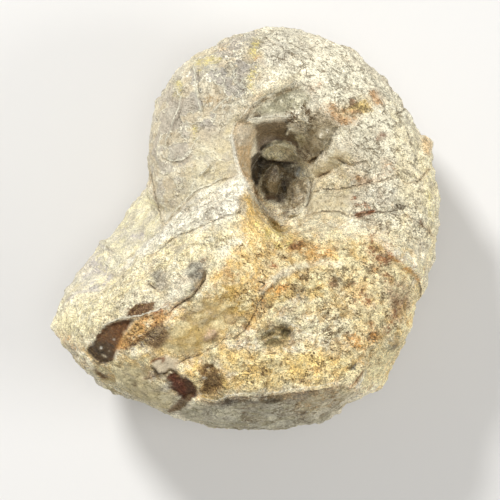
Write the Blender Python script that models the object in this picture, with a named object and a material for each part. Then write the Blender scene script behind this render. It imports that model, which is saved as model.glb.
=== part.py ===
"""Nautilus fossil: the stone cast of a coiled shell, one solid that lies on its hidden flank.

The stone is one whorl lofted round the coil's axis, from the small turns at the bottom of the
umbilicus out to the broken mouth of the living chamber. The loft overlaps itself, so a voxel
remesh fuses it into one body. The body is then carved: steps round the umbilicus, the ledge
along the outer edge, ridges, creases and dents, and the worn flat that it rests on.
The tables are in millimetres and degrees, and the objects are made in metres, +Z up. The origin
is under the middle of the stone's box, on the surface that it lies on.
"""

import math

import bmesh
import bpy
import numpy as np
from mathutils import Matrix, Vector, noise

NAME = "nautilus_fossil"
MM = 0.001

# The box that the finished stone fills
WIDTH, LENGTH, HEIGHT = 48.0, 59.0, 38.0

# The coil's axis passes through COIL_CENTRE and leans from the vertical
COIL_CENTRE = Vector((-2.6, 7.8, 18.6))
LEAN = 11.0
LEAN_TOWARDS = 15.0
MOUTH_ANGLE = -118.0  # bearing of the whorl's broken mouth; the turns count back from here
SHRINK_PER_DEGREE = 0.155 * math.pi / 180  # the inner turns follow a logarithmic spiral

# Sections of the whorl: turn, outer radius, half-width, radius of the flank's crest,
# radius and height of the umbilical seam, and how square the umbilical shoulder is
STATIONS = (
    (-42, 33.0, 16.4, 18.6, 5.0, 6.6, 2.4),
    (-8, 34.4, 17.0, 20.0, 5.0, 6.6, 2.4),
    (0, 38.1, 17.4, 20.4, 5.0, 6.6, 2.4),
    (20, 36.9, 17.8, 20.4, 5.2, 6.4, 2.4),
    (35, 36.0, 18.0, 20.2, 5.6, 6.4, 2.3),
    (50, 35.9, 18.0, 19.8, 5.9, 6.2, 2.2),
    (62, 34.7, 17.5, 19.2, 6.0, 5.6, 2.0),
    (78, 32.2, 16.6, 18.8, 6.0, 5.4, 1.8),
    (90, 28.7, 15.9, 18.0, 6.0, 5.0, 1.6),
    (100, 26.7, 15.2, 17.2, 6.0, 4.6, 1.5),
    (120, 24.9, 14.2, 16.6, 5.8, 4.2, 1.3),
    (140, 23.4, 13.2, 15.8, 5.6, 4.0, 1.3),
    (165, 21.8, 12.2, 14.6, 5.8, 4.0, 1.4),
    (190, 22.4, 11.4, 14.0, 6.4, 4.0, 1.8),
    (220, 21.9, 10.8, 13.6, 7.2, 3.8, 2.2),
    (250, 21.4, 10.2, 12.4, 6.8, 3.6, 2.6),
    (280, 20.1, 9.5, 10.4, 5.2, 3.2, 2.8),
    (310, 18.0, 8.8, 9.0, 3.9, 2.8, 2.8),
    (340, 16.4, 8.0, 8.2, 3.5, 2.4, 2.6),
    (380, 14.8, 6.6, 7.2, 3.0, 2.0, 2.4),
)
# The mouth's break: planes as (a point on it, its outward normal). What would stand past one is
# pressed onto it, so the living chamber ends in two slanting faces that meet in a blunt edge.
MOUTH_PLANES = (
    (Vector((-5.7, 5.3, 32.0)), Vector((-0.862, 0.507, 0.415))),
    (Vector((-18.9, -0.8, 12.0)), Vector((-0.962, 0.273, 0.02))),
)
LAST_MOUTH_TURN = 40  # presses only the rings up to this turn
LAST_TURN = 1000
RING_STEP = 4
DISC_SHARES = np.linspace(0.04, 0.96, 14)
ARC_POINTS = 10  # points along each quarter of a section
VENTER_SQUARENESS = 2.3
HIDDEN_CREST_SHARE = 0.42  # the hidden flank bulges nearer the axis
# Balls on the axis, as (height along it, radii): one closes the coil's middle, and one is the
# matrix that half fills the hidden umbilicus
BALLS = ((0, (2.6, 2.6, 2.6)), (-7.0, (8.5, 8.5, 6.5)))


def at_turn(turn):
    """The section's six dimensions at this turn, on a smooth curve through STATIONS."""
    table = np.array(STATIONS)
    if turn >= table[-1, 0]:
        size = math.exp(-SHRINK_PER_DEGREE * (turn - table[-1, 0]))
        return np.append(table[-1, 1:6] * size, table[-1, 6])
    last = len(table) - 2
    i = min(max(int(np.searchsorted(table[:, 0], turn, side="right")) - 1, 0), last)
    before, start, end, after = (table[min(max(j, 0), last + 1)] for j in (i - 1, i, i + 1, i + 2))
    span = end[0] - start[0]
    t = (turn - start[0]) / span
    slope_in = (end - before)[1:] / (end[0] - before[0]) * span
    slope_out = (after - start)[1:] / (after[0] - start[0]) * span
    return (
        (2 * t**3 - 3 * t**2 + 1) * start[1:]
        + (t**3 - 2 * t**2 + t) * slope_in
        + (3 * t**2 - 2 * t**3) * end[1:]
        + (t**3 - t**2) * slope_out
    )


def quarter(squareness):
    """A quarter of a superellipse from (0, 1) to (1, 0), as (across, up) pairs."""
    angles = np.linspace(0, math.pi / 2, ARC_POINTS)
    power = 2 / squareness
    return np.abs(np.sin(angles)) ** power, np.abs(np.cos(angles)) ** power


def half_section(turn, crest_share):
    """The section's outline above the median plane, from the umbilical seam to the venter."""
    outer, half, crest, seam, seam_height, shoulder = at_turn(turn)
    crest = seam + (crest - seam) * crest_share
    across, up = quarter(shoulder)
    inner = np.column_stack((crest - (crest - seam) * across, seam_height + (half - seam_height) * up))
    across, up = quarter(VENTER_SQUARENESS)
    outside = np.column_stack((crest + (outer - crest) * across, half * up))
    return np.vstack((inner[::-1], outside[1:]))


def section(turn):
    """The section's outline as (radius, height) pairs, all the way round."""
    top = half_section(turn, 1)
    bottom = half_section(turn, HIDDEN_CREST_SHARE)
    return np.vstack((top, bottom[-2::-1] * (1, -1)))


def coil_place():
    """The matrix from the coil's own frame, with its axis along Z, to the stone's frame."""
    bearing = math.radians(LEAN_TOWARDS + 90)
    across = Vector((math.cos(bearing), math.sin(bearing), 0))
    return Matrix.Translation(COIL_CENTRE) @ Matrix.Rotation(math.radians(LEAN), 4, across)


def coil_rings():
    """The rings of the loft in the stone's frame. The first few close its wide end as a disc."""
    place = np.array(coil_place())
    rings = []
    for turn in np.arange(STATIONS[0][0], LAST_TURN + 1, RING_STEP):
        outline = section(turn)
        bearing = math.radians(MOUTH_ANGLE + turn)
        ring = np.column_stack(
            (outline[:, 0] * math.cos(bearing), outline[:, 0] * math.sin(bearing), outline[:, 1])
        )
        ring = ring @ place[:3, :3].T + place[:3, 3]
        if turn == STATIONS[0][0]:
            middle = ring.mean(axis=0)
            rings += [middle + (ring - middle) * share for share in DISC_SHARES]
        rings.append(ring)
    mouth = len(DISC_SHARES) + (LAST_MOUTH_TURN - STATIONS[0][0]) // RING_STEP
    return [break_off(ring) for ring in rings[:mouth]] + rings[mouth:]


def break_off(ring):
    for point, normal in MOUTH_PLANES:
        normal = np.array(normal.normalized())
        past = np.maximum((ring - np.array(point)) @ normal, 0)
        ring = ring - past[:, None] * normal
    return ring


def ball(height, radii):
    """An ellipsoid on the coil's axis, at this height along it, as vertices and faces."""
    mesh = bmesh.new()
    bmesh.ops.create_icosphere(mesh, subdivisions=3, radius=1)
    sizes = Matrix.Diagonal((*radii, 1))
    place = coil_place() @ Matrix.Translation((0, 0, height)) @ sizes
    vertices = [tuple(place @ vertex.co) for vertex in mesh.verts]
    faces = [tuple(vertex.index for vertex in face.verts) for face in mesh.faces]
    mesh.free()
    return vertices, faces


def loft(rings):
    """The rings joined into a closed tube, as vertices and faces."""
    size = len(rings[0])
    faces = [tuple(range(size))[::-1]]
    for i in range(len(rings) - 1):
        for j in range(size):
            k = (j + 1) % size
            faces.append((i * size + j, i * size + k, (i + 1) * size + k, (i + 1) * size + j))
    faces.append(tuple(range((len(rings) - 1) * size, len(rings) * size)))
    return np.vstack(rings).tolist(), faces


def add_stone():
    """The loft and the balls that close its middle, as one object of overlapping shells."""
    vertices, faces = loft(coil_rings())
    for height, radii in BALLS:
        ball_vertices, ball_faces = ball(height, radii)
        faces += [tuple(index + len(vertices) for index in face) for face in ball_faces]
        vertices += ball_vertices
    mesh = bpy.data.meshes.new(NAME)
    mesh.from_pydata(vertices, [], faces)
    mesh.validate()
    stone = bpy.data.objects.new(NAME, mesh)
    bpy.context.scene.collection.objects.link(stone)
    return stone


def apply_modifier(stone, kind, **settings):
    """Adds one modifier and makes its result the object's mesh."""
    modifier = stone.modifiers.new(kind.title(), kind)
    for name, value in settings.items():
        setattr(modifier, name, value)
    graph = bpy.context.evaluated_depsgraph_get()
    graph.update()
    mesh = bpy.data.meshes.new_from_object(stone.evaluated_get(graph))
    stone.modifiers.remove(modifier)
    old = stone.data
    stone.data = mesh
    bpy.data.meshes.remove(old)
    mesh.name = NAME


# Relief along a line on the upper side: what it is, its depth, its width, and the line as (x, y).
# A step raises what lies to the left of its line, and fades out over STEP_REACH times its depth.
STEP_REACH = 7
END_FADE = 4.5  # every line's relief dies away over this length at both its ends
LINES = (
    # round the umbilicus: the chipped outer and inner steps, and the rim on the smooth whorl
    ("step", 0.5, 0.5, ((-10.0, 14.1), (-7.9, 17.1), (-5.1, 20.2), (-3.5, 21.9), (-0.7, 22.3))),
    ("step", 0.7, 0.4, ((-9.6, 12.0), (-9.2, 13.2), (-8.0, 14.6), (-4.5, 16.8), (-2.3, 17.0))),
    ("ridge", 0.5, 0.8, ((-9.6, 12.4), (-8.8, 9.4), (-6.2, 6.0), (-4.6, 4.4), (-1.5, 2.6), (2.4, 1.0))),
    # the ledge that runs along the outer edge, above the smooth venter
    ("step", 1.3, 0.5, ((-0.4, -25.6), (1.2, -23.6), (3.2, -22.3), (6.9, -20.5), (15.7, -16.6),
                        (18.7, -14.6), (22.2, -11.7))),
    ("ridge", 0.5, 1.4, ((10.0, 5.1), (13.9, 4.5), (17.1, 3.6), (20.9, 2.1))),
    # the mouth's bright edge, the crack beside it and the crease on its face
    ("ridge", 0.6, 1.1, ((-17.0, -13.9), (-15.0, -9.9), (-12.4, -5.4), (-8.6, -0.2), (-5.7, 5.4))),
    ("groove", 0.3, 0.5, ((-12.8, -7.8), (-9.0, -2.6), (-4.7, 1.0))),
    ("groove", 0.8, 0.9, ((-14.4, -6.2), (-16.8, -11.2), (-17.9, -14.3), (-18.6, -17.2))),
    # the crease between the dished flank and the lobe below it
    ("groove", 0.7, 1.0, ((-4.4, -21.0), (-1.1, -16.7), (1.1, -15.1), (3.3, -15.0), (6.1, -14.9))),
)
# Round relief on the upper side: its place, its radii along x and y, and its height
LUMPS = (
    ((7.4, -11.9), (3.4, 2.4), -1.1),  # grey hollow
    ((-7.3, -9.6), (2.2, 2.8), 0.5),  # oval lump
    ((-4.2, -14.0), (5.5, 4.0), -0.7),  # dished flank
    ((3.2, -19.2), (3.6, 2.8), 0.8),  # lobe
    ((-14.8, -21.6), (2.6, 3.4), -0.6),  # broken patch
    ((-3.2, -23.4), (1.8, 1.8), -0.7),
    ((0.2, -21.7), (1.6, 1.6), -0.6),
    ((-21.6, -9.6), (2.4, 2.6), 0.9),  # knobs on the mouth's face
    ((-21.8, -16.0), (3.0, 3.0), 0.6),
    ((22.5, -7.7), (2.2, 2.6), 0.7),
    ((23.8, 1.7), (1.6, 1.6), -0.8),  # notch in the outer edge
    ((12.6, -9.8), (4.0, 3.0), -0.5),
)
# Lumpiness of the stone: height and size of each layer of noise, and how much the smooth whorl has
NOISE_LAYERS = ((0.55, 9.0), (0.28, 3.6), (0.14, 1.7))
SMOOTH_SHARE = 0.22
SMOOTH_BEARINGS = (115, 232)

# The umbilicus: an egg-shaped pit with the inner whorl coiled on its floor. Shares are of the
# way from the pit's middle to its edge, and heights are above its floor.
PIT_CENTRE = (-0.8, 7.5)
PIT_RADII = (5.8, 3.9)  # along its long axis and across it
PIT_BEARING = 119  # of the long axis
PIT_FLOOR = 15.0
PIT_EDGE_SHARE = 1.12  # the wall climbs from share 1 to here
INNER_SHIFT = (0.12, -0.04)  # the inner whorl lies against the pit's far side: shares across and along
INNER_RING_SHARE = 0.60
INNER_RING_WIDTH = 0.36
INNER_RING_HEIGHTS = (5.6, 3.0)  # at the cap, where the inner whorl is widest, and one turn back
INNER_EYE = (0.20, 1.6)  # the innermost turn: its radius as a share, and its height

# The edge of the stone as an eye EYE_HEIGHT above the plane z = EDGE_HEIGHT sees it, clockwise from
# its top. The stone is pushed in or out to meet it, and its middle stays put.
EYE = (-1.5, -3.2)
EYE_HEIGHT, EDGE_HEIGHT = 300.0, 19.0
OUTLINE = (
    (-12.0, 27.2), (-7.2, 29.1), (-4.4, 29.4), (-1.7, 29.5), (1.3, 29.4), (4.3, 28.4), (8.1, 26.5),
    (13.1, 23.2), (14.7, 21.6), (16.5, 20.9), (17.6, 19.1), (19.1, 17.1), (20.6, 14.3), (22.0, 10.7),
    (23.0, 7.1), (23.5, 4.4), (23.3, 2.4), (23.8, 0.1), (23.0, -0.8), (23.6, -2.6), (23.8, -8.6),
    (23.5, -10.9), (23.7, -14.0), (21.8, -15.4), (19.7, -17.7), (17.6, -21.7), (14.4, -23.5),
    (10.9, -25.7), (7.0, -26.9), (3.5, -28.5), (-0.1, -28.7), (-3.6, -29.1), (-8.7, -29.0),
    (-12.8, -29.2), (-15.3, -28.3), (-19.7, -26.1), (-22.7, -25.1), (-23.8, -23.7), (-23.7, -20.3),
    (-23.2, -15.7), (-22.2, -11.6), (-21.6, -9.3), (-20.6, -8.5), (-19.9, -5.6), (-19.0, -1.7),
    (-18.5, 0.9), (-20.2, 4.6), (-21.4, 8.1), (-21.6, 11.7), (-21.3, 15.7), (-20.0, 18.9),
    (-16.2, 23.7),
)
OUTLINE_POWER = 4  # how quickly the push dies away towards the middle
OUTLINE_SECTORS = 180
OUTLINE_BLUR = 7  # sectors; what is finer than this is pushed only near the edge's own height
EDGE_THICKNESS = 5.0

FLAT_CUT = 1.3  # worn off the hidden flank, so that the stone lies without rocking
VOXEL, FINE_VOXEL = 0.5, 0.4
TRIANGLES = 9600


def smooth_step(value):
    value = np.clip(value, 0, 1)
    return value * value * (3 - 2 * value)


def line_distance(xy, line):
    """Each point's distance from the line, the side it lies on (left is 1) and its fade at the ends."""
    line = np.array(line)
    lengths = np.hypot(*np.diff(line, axis=0).T)
    nearest = np.full(len(xy), 1e9)
    side = np.ones(len(xy))
    travelled = np.zeros(len(xy))
    for i, length in enumerate(lengths):
        along = (line[i + 1] - line[i]) / length
        off = xy - line[i]
        reach = np.clip(off @ along, 0, length)
        off = off - reach[:, None] * along
        distance = np.hypot(off[:, 0], off[:, 1])
        closer = distance < nearest
        nearest[closer] = distance[closer]
        side[closer] = np.where(along[0] * off[closer, 1] >= along[1] * off[closer, 0], 1, -1)
        travelled[closer] = lengths[:i].sum() + reach[closer]
    fade = smooth_step(np.minimum(travelled, lengths.sum() - travelled) / END_FADE)
    return nearest, side, fade


def relief(points, normals):
    """How far each point moves along its normal, from the tables above."""
    xy = points[:, :2]
    upper = smooth_step((normals[:, 2] + 0.05) / 0.35)
    move = np.zeros(len(points))
    for kind, depth, width, line in LINES:
        distance, side, fade = line_distance(xy, line)
        if kind == "step":
            shape = smooth_step(side * distance / width * 0.5 + 0.5)
            shape *= smooth_step(1 - distance / (STEP_REACH * depth))
        else:
            shape = np.exp(-((distance / width) ** 2)) * (1 if kind == "ridge" else -1)
        move += depth * shape * fade * upper
    for place, radii, height in LUMPS:
        off = (xy - place) / radii
        move += height * np.exp(-(off**2).sum(axis=1)) * upper
    return move


def pit_shares(xy, shift=(0, 0)):
    """Each point's place in the pit: share of the way to its edge, and turn back from the cap."""
    bearing = math.radians(PIT_BEARING)
    off = xy - PIT_CENTRE
    across = (off[:, 0] * math.sin(bearing) - off[:, 1] * math.cos(bearing)) / PIT_RADII[1] - shift[0]
    along = (off[:, 0] * math.cos(bearing) + off[:, 1] * math.sin(bearing)) / PIT_RADII[0] - shift[1]
    return np.hypot(along, across), np.arctan2(-across, along) % (2 * math.pi) / (2 * math.pi)


def dome(share):
    return np.sqrt(np.clip(1 - share**2, 0, 1))


def sink_pit(points, normals):
    """Lowers the upper side inside the pit's edge to the pit's floor and the whorl on it."""
    inner, turn = pit_shares(points[:, :2], INNER_SHIFT)
    ring = INNER_RING_HEIGHTS[0] + (INNER_RING_HEIGHTS[1] - INNER_RING_HEIGHTS[0]) * turn
    height = ring * dome((inner - INNER_RING_SHARE) / INNER_RING_WIDTH)
    height = np.maximum(height, INNER_EYE[1] * dome(inner / INNER_EYE[0]))
    share, _ = pit_shares(points[:, :2])
    wall = smooth_step((share - 1) / (PIT_EDGE_SHARE - 1))
    inside = (normals[:, 2] > 0) & (share < PIT_EDGE_SHARE) & (points[:, 2] > COIL_CENTRE.z)
    target = (PIT_FLOOR + height) * (1 - wall) + points[:, 2] * wall
    points[inside, 2] = np.minimum(target, points[:, 2])[inside]
    return points


def lumpiness(points):
    off = points[:, :2] - np.array(COIL_CENTRE)[:2]
    bearing = np.degrees(np.arctan2(off[:, 1], off[:, 0])) % 360
    first, last = SMOOTH_BEARINGS
    smooth = smooth_step((bearing - first) / 25) * smooth_step((last - bearing) / 12)
    move = np.zeros(len(points))
    for height, size in NOISE_LAYERS:
        move += height * np.array([noise.noise(Vector(point / size)) for point in points])
    return move * (1 - (1 - SMOOTH_SHARE) * smooth)


def read_points(mesh):
    points = np.empty(len(mesh.vertices) * 3, np.float32)
    normals = np.empty_like(points)
    mesh.vertices.foreach_get("co", points)
    mesh.vertices.foreach_get("normal", normals)
    return points.reshape(-1, 3).astype(float), normals.reshape(-1, 3).astype(float)


def write_points(mesh, points):
    mesh.vertices.foreach_set("co", points.astype(np.float32).ravel())
    mesh.update()


def carve(mesh):
    points, normals = read_points(mesh)
    move = relief(points, normals) + lumpiness(points)
    write_points(mesh, sink_pit(points + move[:, None] * normals, normals))


def lie_flat(mesh):
    """Wears the lowest part of the stone to a flat at z = 0."""
    points, _ = read_points(mesh)
    points[:, 2] = np.maximum(points[:, 2] - points[:, 2].min() - FLAT_CUT, 0)
    write_points(mesh, points)


def fit_outline(mesh):
    """Pushes the stone's edge in or out, so that seen from above it is OUTLINE."""
    points, _ = read_points(mesh)
    points[:, :2] -= (points.max(axis=0) + points.min(axis=0))[:2] / 2
    nearer = EYE_HEIGHT / (EYE_HEIGHT - (points[:, 2] - EDGE_HEIGHT))
    seen = EYE + (points[:, :2] - EYE) * nearer[:, None]
    radius = np.hypot(seen[:, 0], seen[:, 1])
    bearing = np.arctan2(seen[:, 1], seen[:, 0])
    limits = np.linspace(-math.pi, math.pi, OUTLINE_SECTORS + 1)
    middles = (limits[1:] + limits[:-1]) / 2
    sector = np.clip(np.digitize(bearing, limits) - 1, 0, OUTLINE_SECTORS - 1)
    wanted = np.array(sorted((math.atan2(y, x), math.hypot(x, y)) for x, y in OUTLINE))
    push = np.interp(middles, wanted[:, 0], wanted[:, 1], period=2 * math.pi)
    edge_height = np.zeros(OUTLINE_SECTORS)
    widest = np.zeros(OUTLINE_SECTORS)
    for i in range(OUTLINE_SECTORS):
        members = np.flatnonzero(sector == i)
        outermost = members[np.argmax(radius[members])]
        widest[i] = radius[outermost]
        edge_height[i] = points[outermost, 2]
    push -= widest
    around = np.concatenate((push[-OUTLINE_BLUR:], push, push[:OUTLINE_BLUR]))
    broad = np.convolve(around, np.ones(2 * OUTLINE_BLUR + 1) / (2 * OUTLINE_BLUR + 1), "valid")

    def at_points(values):
        return np.interp(bearing, middles, values, period=2 * math.pi)

    near_edge = np.exp(-(((points[:, 2] - at_points(edge_height)) / EDGE_THICKNESS) ** 2))
    move = at_points(broad) + at_points(push - broad) * near_edge
    move *= np.minimum(radius / at_points(widest), 1) ** OUTLINE_POWER
    points[:, :2] += seen * (move / np.maximum(radius, 1) / nearer)[:, None]
    write_points(mesh, points)


def fit_box(mesh):
    """Fills the stated box, with the origin under its middle, and turns millimetres to metres."""
    points, _ = read_points(mesh)
    low, high = points.min(axis=0), points.max(axis=0)
    middle = (low + high) / 2
    middle[2] = low[2]
    points = (points - middle) * np.array((WIDTH, LENGTH, HEIGHT)) / (high - low)
    write_points(mesh, points * MM)


def stone_material():
    material = bpy.data.materials.new("weathered_limestone")
    material.use_nodes = True
    shader = material.node_tree.nodes["Principled BSDF"]
    shader.inputs["Base Color"].default_value = (0.66, 0.55, 0.36, 1)
    shader.inputs["Roughness"].default_value = 0.85
    shader.inputs["Metallic"].default_value = 0
    return material


def main():
    for old in list(bpy.data.objects):
        bpy.data.objects.remove(old)
    stone = add_stone()
    apply_modifier(stone, "REMESH", mode="VOXEL", voxel_size=VOXEL)
    carve(stone.data)
    apply_modifier(stone, "REMESH", mode="VOXEL", voxel_size=FINE_VOXEL)
    lie_flat(stone.data)
    fit_outline(stone.data)
    apply_modifier(stone, "DECIMATE", ratio=TRIANGLES / (2 * len(stone.data.polygons)))
    fit_box(stone.data)
    stone.data.materials.append(stone_material())


main()
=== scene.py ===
"""Dresses the nautilus fossil: its fine surface, its weathering and its colours, seen from above.

The stone is one piece. It starts from the frame's solid, is remeshed finely, and gets its cracks,
sutures, ledges, pits and grain as real relief. Marks that the picture shows are placed in the
picture's own pixels, (across, down) in its 500 x 500 frame: each point of the stone is seen through
the camera, and a mark reaches only the side that faces the camera. Lengths are millimetres until
the stone is put back in metres. The hidden side gets the same weathering without those marks.
"""

import math

import bmesh
import bpy
import numpy as np
from mathutils import Matrix, Vector, noise


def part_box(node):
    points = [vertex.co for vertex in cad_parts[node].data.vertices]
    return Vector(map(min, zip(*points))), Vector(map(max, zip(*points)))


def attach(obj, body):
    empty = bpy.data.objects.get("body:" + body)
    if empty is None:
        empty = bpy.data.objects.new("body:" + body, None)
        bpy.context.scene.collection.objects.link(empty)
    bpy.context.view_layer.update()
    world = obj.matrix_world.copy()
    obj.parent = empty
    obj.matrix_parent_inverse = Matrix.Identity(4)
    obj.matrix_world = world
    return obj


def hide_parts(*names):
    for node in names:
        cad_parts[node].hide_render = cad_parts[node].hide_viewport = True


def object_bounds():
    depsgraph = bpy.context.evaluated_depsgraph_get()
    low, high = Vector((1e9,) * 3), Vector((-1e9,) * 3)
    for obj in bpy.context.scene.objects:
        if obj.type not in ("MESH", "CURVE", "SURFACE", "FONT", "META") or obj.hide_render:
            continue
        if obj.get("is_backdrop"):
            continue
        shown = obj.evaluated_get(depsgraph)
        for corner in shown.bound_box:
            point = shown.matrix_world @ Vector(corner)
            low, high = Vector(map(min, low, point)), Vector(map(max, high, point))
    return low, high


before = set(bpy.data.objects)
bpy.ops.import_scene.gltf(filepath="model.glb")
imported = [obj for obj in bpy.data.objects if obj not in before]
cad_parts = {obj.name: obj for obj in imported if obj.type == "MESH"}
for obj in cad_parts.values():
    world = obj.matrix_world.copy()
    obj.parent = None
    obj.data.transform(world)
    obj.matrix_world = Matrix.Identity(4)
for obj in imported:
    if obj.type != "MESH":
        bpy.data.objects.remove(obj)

NODE = "nautilus_fossil"
MM = 1000.0

# The camera looks straight down; millimetres, and pixels of the 500 x 500 picture
CAMERA_PLACE = np.array((-1.5, -3.2, 319.0))
PICTURE_RIGHT = np.array((0.92718, 0.37461, 0.0))
PICTURE_UP = np.array((-0.37461, 0.92718, 0.0))
LENS = 150.9
SENSOR = 36.0
PICTURE_SIDE = 500.0
PIXELS_PER_MM = 7.03  # at the middle of the stone's height

# The mesh, in millimetres
COARSE_VOXEL = 0.57
SMOOTHING = 0.8  # how far each round moves a point towards its neighbours
COARSE_ROUNDS = 5
FINE_ROUNDS = 3
UPPER_FACE = 0.05  # a face whose normal rises more than this is split
FLAT_KEEP = 0.25  # the resting flat stays within this of the ground

# The umbilicus, as in the source: a pit with the inner whorl coiled on its floor, in millimetres
PIT_CENTRE = (-0.8, 7.5)
PIT_RADII = (5.8, 3.9)
PIT_BEARING = math.radians(119)
PIT_FLOOR_TOP = 23.6  # what lies lower than this in the pit belongs to its floor

# Relief
RELIEF_GAIN = 1.6
STEP_REACH = 22  # how far a step's height runs out beside its line, in pixels
RIDGE_RUN = (0.95, 0.30, 0.0)
CAVITY_ROUNDS = 6  # how widely the relief is blurred to tell its hollows from its swellings

# How the edges of marks are shaken: size of the noise in millimetres, and reach in pixels
ZONE_SHAKE = (2.2, 7.0)
AREA_SHAKE = (2.0, 5.0)
LINE_SHAKE = (1.2, 1.1)
PATCH_SHAKE = (0.8, 1.6)

# How much of each kind of mark, and of the yellower stone, the sides and the back have all over
HIDDEN_MARKS = {"speckled": 0.5, "veined": 0.25, "wrinkled": 0.5, "crystals": 0.0}
HIDDEN_WARMTH = 0.4

# The material
BUMP_DEPTH = 0.0005  # metres
# How much of the stone's colour a fleck keeps: on the clean stone and where flecks crowd together
FLECK_TONES = ((0.40, 0.33, 0.24, 1), (0.24, 0.16, 0.08, 1))
STAIN_THRESHOLD = -2.10  # keeps a weak stain to the spots where the grit is strongest
WRINKLE_TURN = math.radians(-20)
LINE_HALF_WIDTH = 0.14  # millimetres
LINE_WIGGLE = 0.5
ROUGHNESS = 0.84
SPECULAR = 0.2

# The studio, in metres
FLOOR_HALF = 0.6
FLOOR_COLOUR = (0.78, 0.77, 0.75, 1)
FLOOR_ROUGHNESS = 0.9
WORLD_COLOUR = (1.0, 0.99, 0.97, 1)
WORLD_STRENGTH = 0.31
LIT_PLACE = (0, 0, 0.02)
# Lights: name, direction, distance, size and power
LIGHTS = (
    ("key", (-0.6, 0.9, 1.1), 0.45, 0.08, 1.55),
    ("front", (0.05, -0.05, 1.0), 0.5, 0.2, 0.40),
    ("fill", (1.0, -0.2, 0.65), 0.5, 0.25, 1.05),
    ("low fill", (-0.8, -1.0, 0.5), 0.5, 0.25, 0.2),
)

cad_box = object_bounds()


# ---------------------------------------------------------------- looking and measuring


def in_picture(points):
    """Where the camera sees each point, as (across, down) in the picture's pixels."""
    off = points - CAMERA_PLACE
    scale = LENS / SENSOR * PICTURE_SIDE / -off[:, 2]
    across = PICTURE_SIDE / 2 + off @ PICTURE_RIGHT * scale
    down = PICTURE_SIDE / 2 - off @ PICTURE_UP * scale
    return np.column_stack((across, down))


def smooth_step(value):
    """0 up to 0 and 1 from 1 on, with a smooth rise between them."""
    value = np.clip(value, 0, 1)
    return value * value * (3 - 2 * value)


def line_distance(xy, line):
    """Each point's distance from a line, how far along it is, as a share, and whether it lies left."""
    if len(line) == 1:
        return np.hypot(*(xy - line[0]).T), np.full(len(xy), 0.5), np.ones(len(xy))
    lengths = np.hypot(*np.diff(line, axis=0).T)
    nearest = np.full(len(xy), np.inf)
    side = np.ones(len(xy))
    travelled = np.zeros(len(xy))
    for i, length in enumerate(lengths):
        along = (line[i + 1] - line[i]) / length
        off = xy - line[i]
        reach = np.clip(off @ along, 0, length)
        off = off - reach[:, None] * along
        distance = np.hypot(off[:, 0], off[:, 1])
        closer = distance < nearest
        nearest[closer] = distance[closer]
        side[closer] = np.where(along[0] * off[closer, 1] >= along[1] * off[closer, 0], -1, 1)
        travelled[closer] = lengths[:i].sum() + reach[closer]
    return nearest, travelled / lengths.sum(), side


def inside_depth(xy, corners):
    """How far inside a closed outline each point lies; negative outside."""
    inside = np.zeros(len(xy), bool)
    last = corners[-1]
    for corner in corners:
        crosses = (corner[1] > xy[:, 1]) != (last[1] > xy[:, 1])
        with np.errstate(divide="ignore", invalid="ignore"):
            at = (last[0] - corner[0]) * (xy[:, 1] - corner[1]) / (last[1] - corner[1]) + corner[0]
        inside ^= crosses & (xy[:, 0] < at)
        last = corner
    edge, _, _ = line_distance(xy, np.vstack((corners, corners[:1])))
    return np.where(inside, edge, -edge)


def near(xy, shape, reach):
    """The points within reach of a shape's box."""
    return np.all((xy > shape.min(axis=0) - reach) & (xy < shape.max(axis=0) + reach), axis=1)


def area_mask(xy, corners, soft):
    """1 inside an outline and 0 outside it, with an edge of this softness to either side."""
    mask = np.zeros(len(xy))
    close = near(xy, corners, soft)
    mask[close] = smooth_step(inside_depth(xy[close], corners) / soft * 0.5 + 0.5)
    return mask


def line_mask(xy, line, half_width):
    """1 on a line, fading out to either side."""
    mask = np.zeros(len(xy))
    close = near(xy, line, 3 * half_width)
    distance, _, _ = line_distance(xy[close], line)
    mask[close] = np.exp(-((distance / half_width) ** 2))
    return mask


def noise_at(points, size, octaves=1, shift=0.0):
    """Blender's gradient noise, about -1 to 1, at this size in millimetres."""
    places = (points / size + shift).tolist()
    if octaves == 1:
        return np.array([noise.noise(Vector(place)) for place in places])
    return np.array([noise.fractal(Vector(place), 0.9, 2.0, octaves) for place in places])


def cells_at(points, size):
    """Distance to the nearest random cell centre, in cells."""
    return np.array([noise.voronoi(Vector(place))[0][0] for place in (points / size).tolist()])


# ---------------------------------------------------------------- the mesh


def read_points(mesh, what="co"):
    values = np.empty(len(mesh.vertices) * 3, np.float32)
    mesh.vertices.foreach_get(what, values)
    return values.reshape(-1, 3).astype(float)


def write_points(mesh, points):
    mesh.vertices.foreach_set("co", points.astype(np.float32).ravel())
    mesh.update()


def remesh(stone, voxel):
    """Gives the object an even mesh of its shape, with faces of about this size."""
    modifier = stone.modifiers.new("Remesh", "REMESH")
    modifier.mode = "VOXEL"
    modifier.voxel_size = voxel
    graph = bpy.context.evaluated_depsgraph_get()
    graph.update()
    mesh = bpy.data.meshes.new_from_object(stone.evaluated_get(graph))
    stone.modifiers.remove(modifier)
    stone.data = mesh


def edges_of(mesh):
    ends = np.empty(len(mesh.edges) * 2, np.int32)
    mesh.edges.foreach_get("vertices", ends)
    return ends.reshape(-1, 2)


def blurred(values, edges, rounds, weight=1.0):
    """Rows of values, each moved this share of the way to its neighbours' mean, this many rounds."""
    first, second = edges.T
    count = np.bincount(edges.ravel(), minlength=len(values))[:, None]
    for _ in range(rounds):
        sums = [
            np.bincount(first, column[second], len(values)) + np.bincount(second, column[first], len(values))
            for column in values.T
        ]
        values = values + (np.column_stack(sums) / count - values) * weight
    return values


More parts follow.
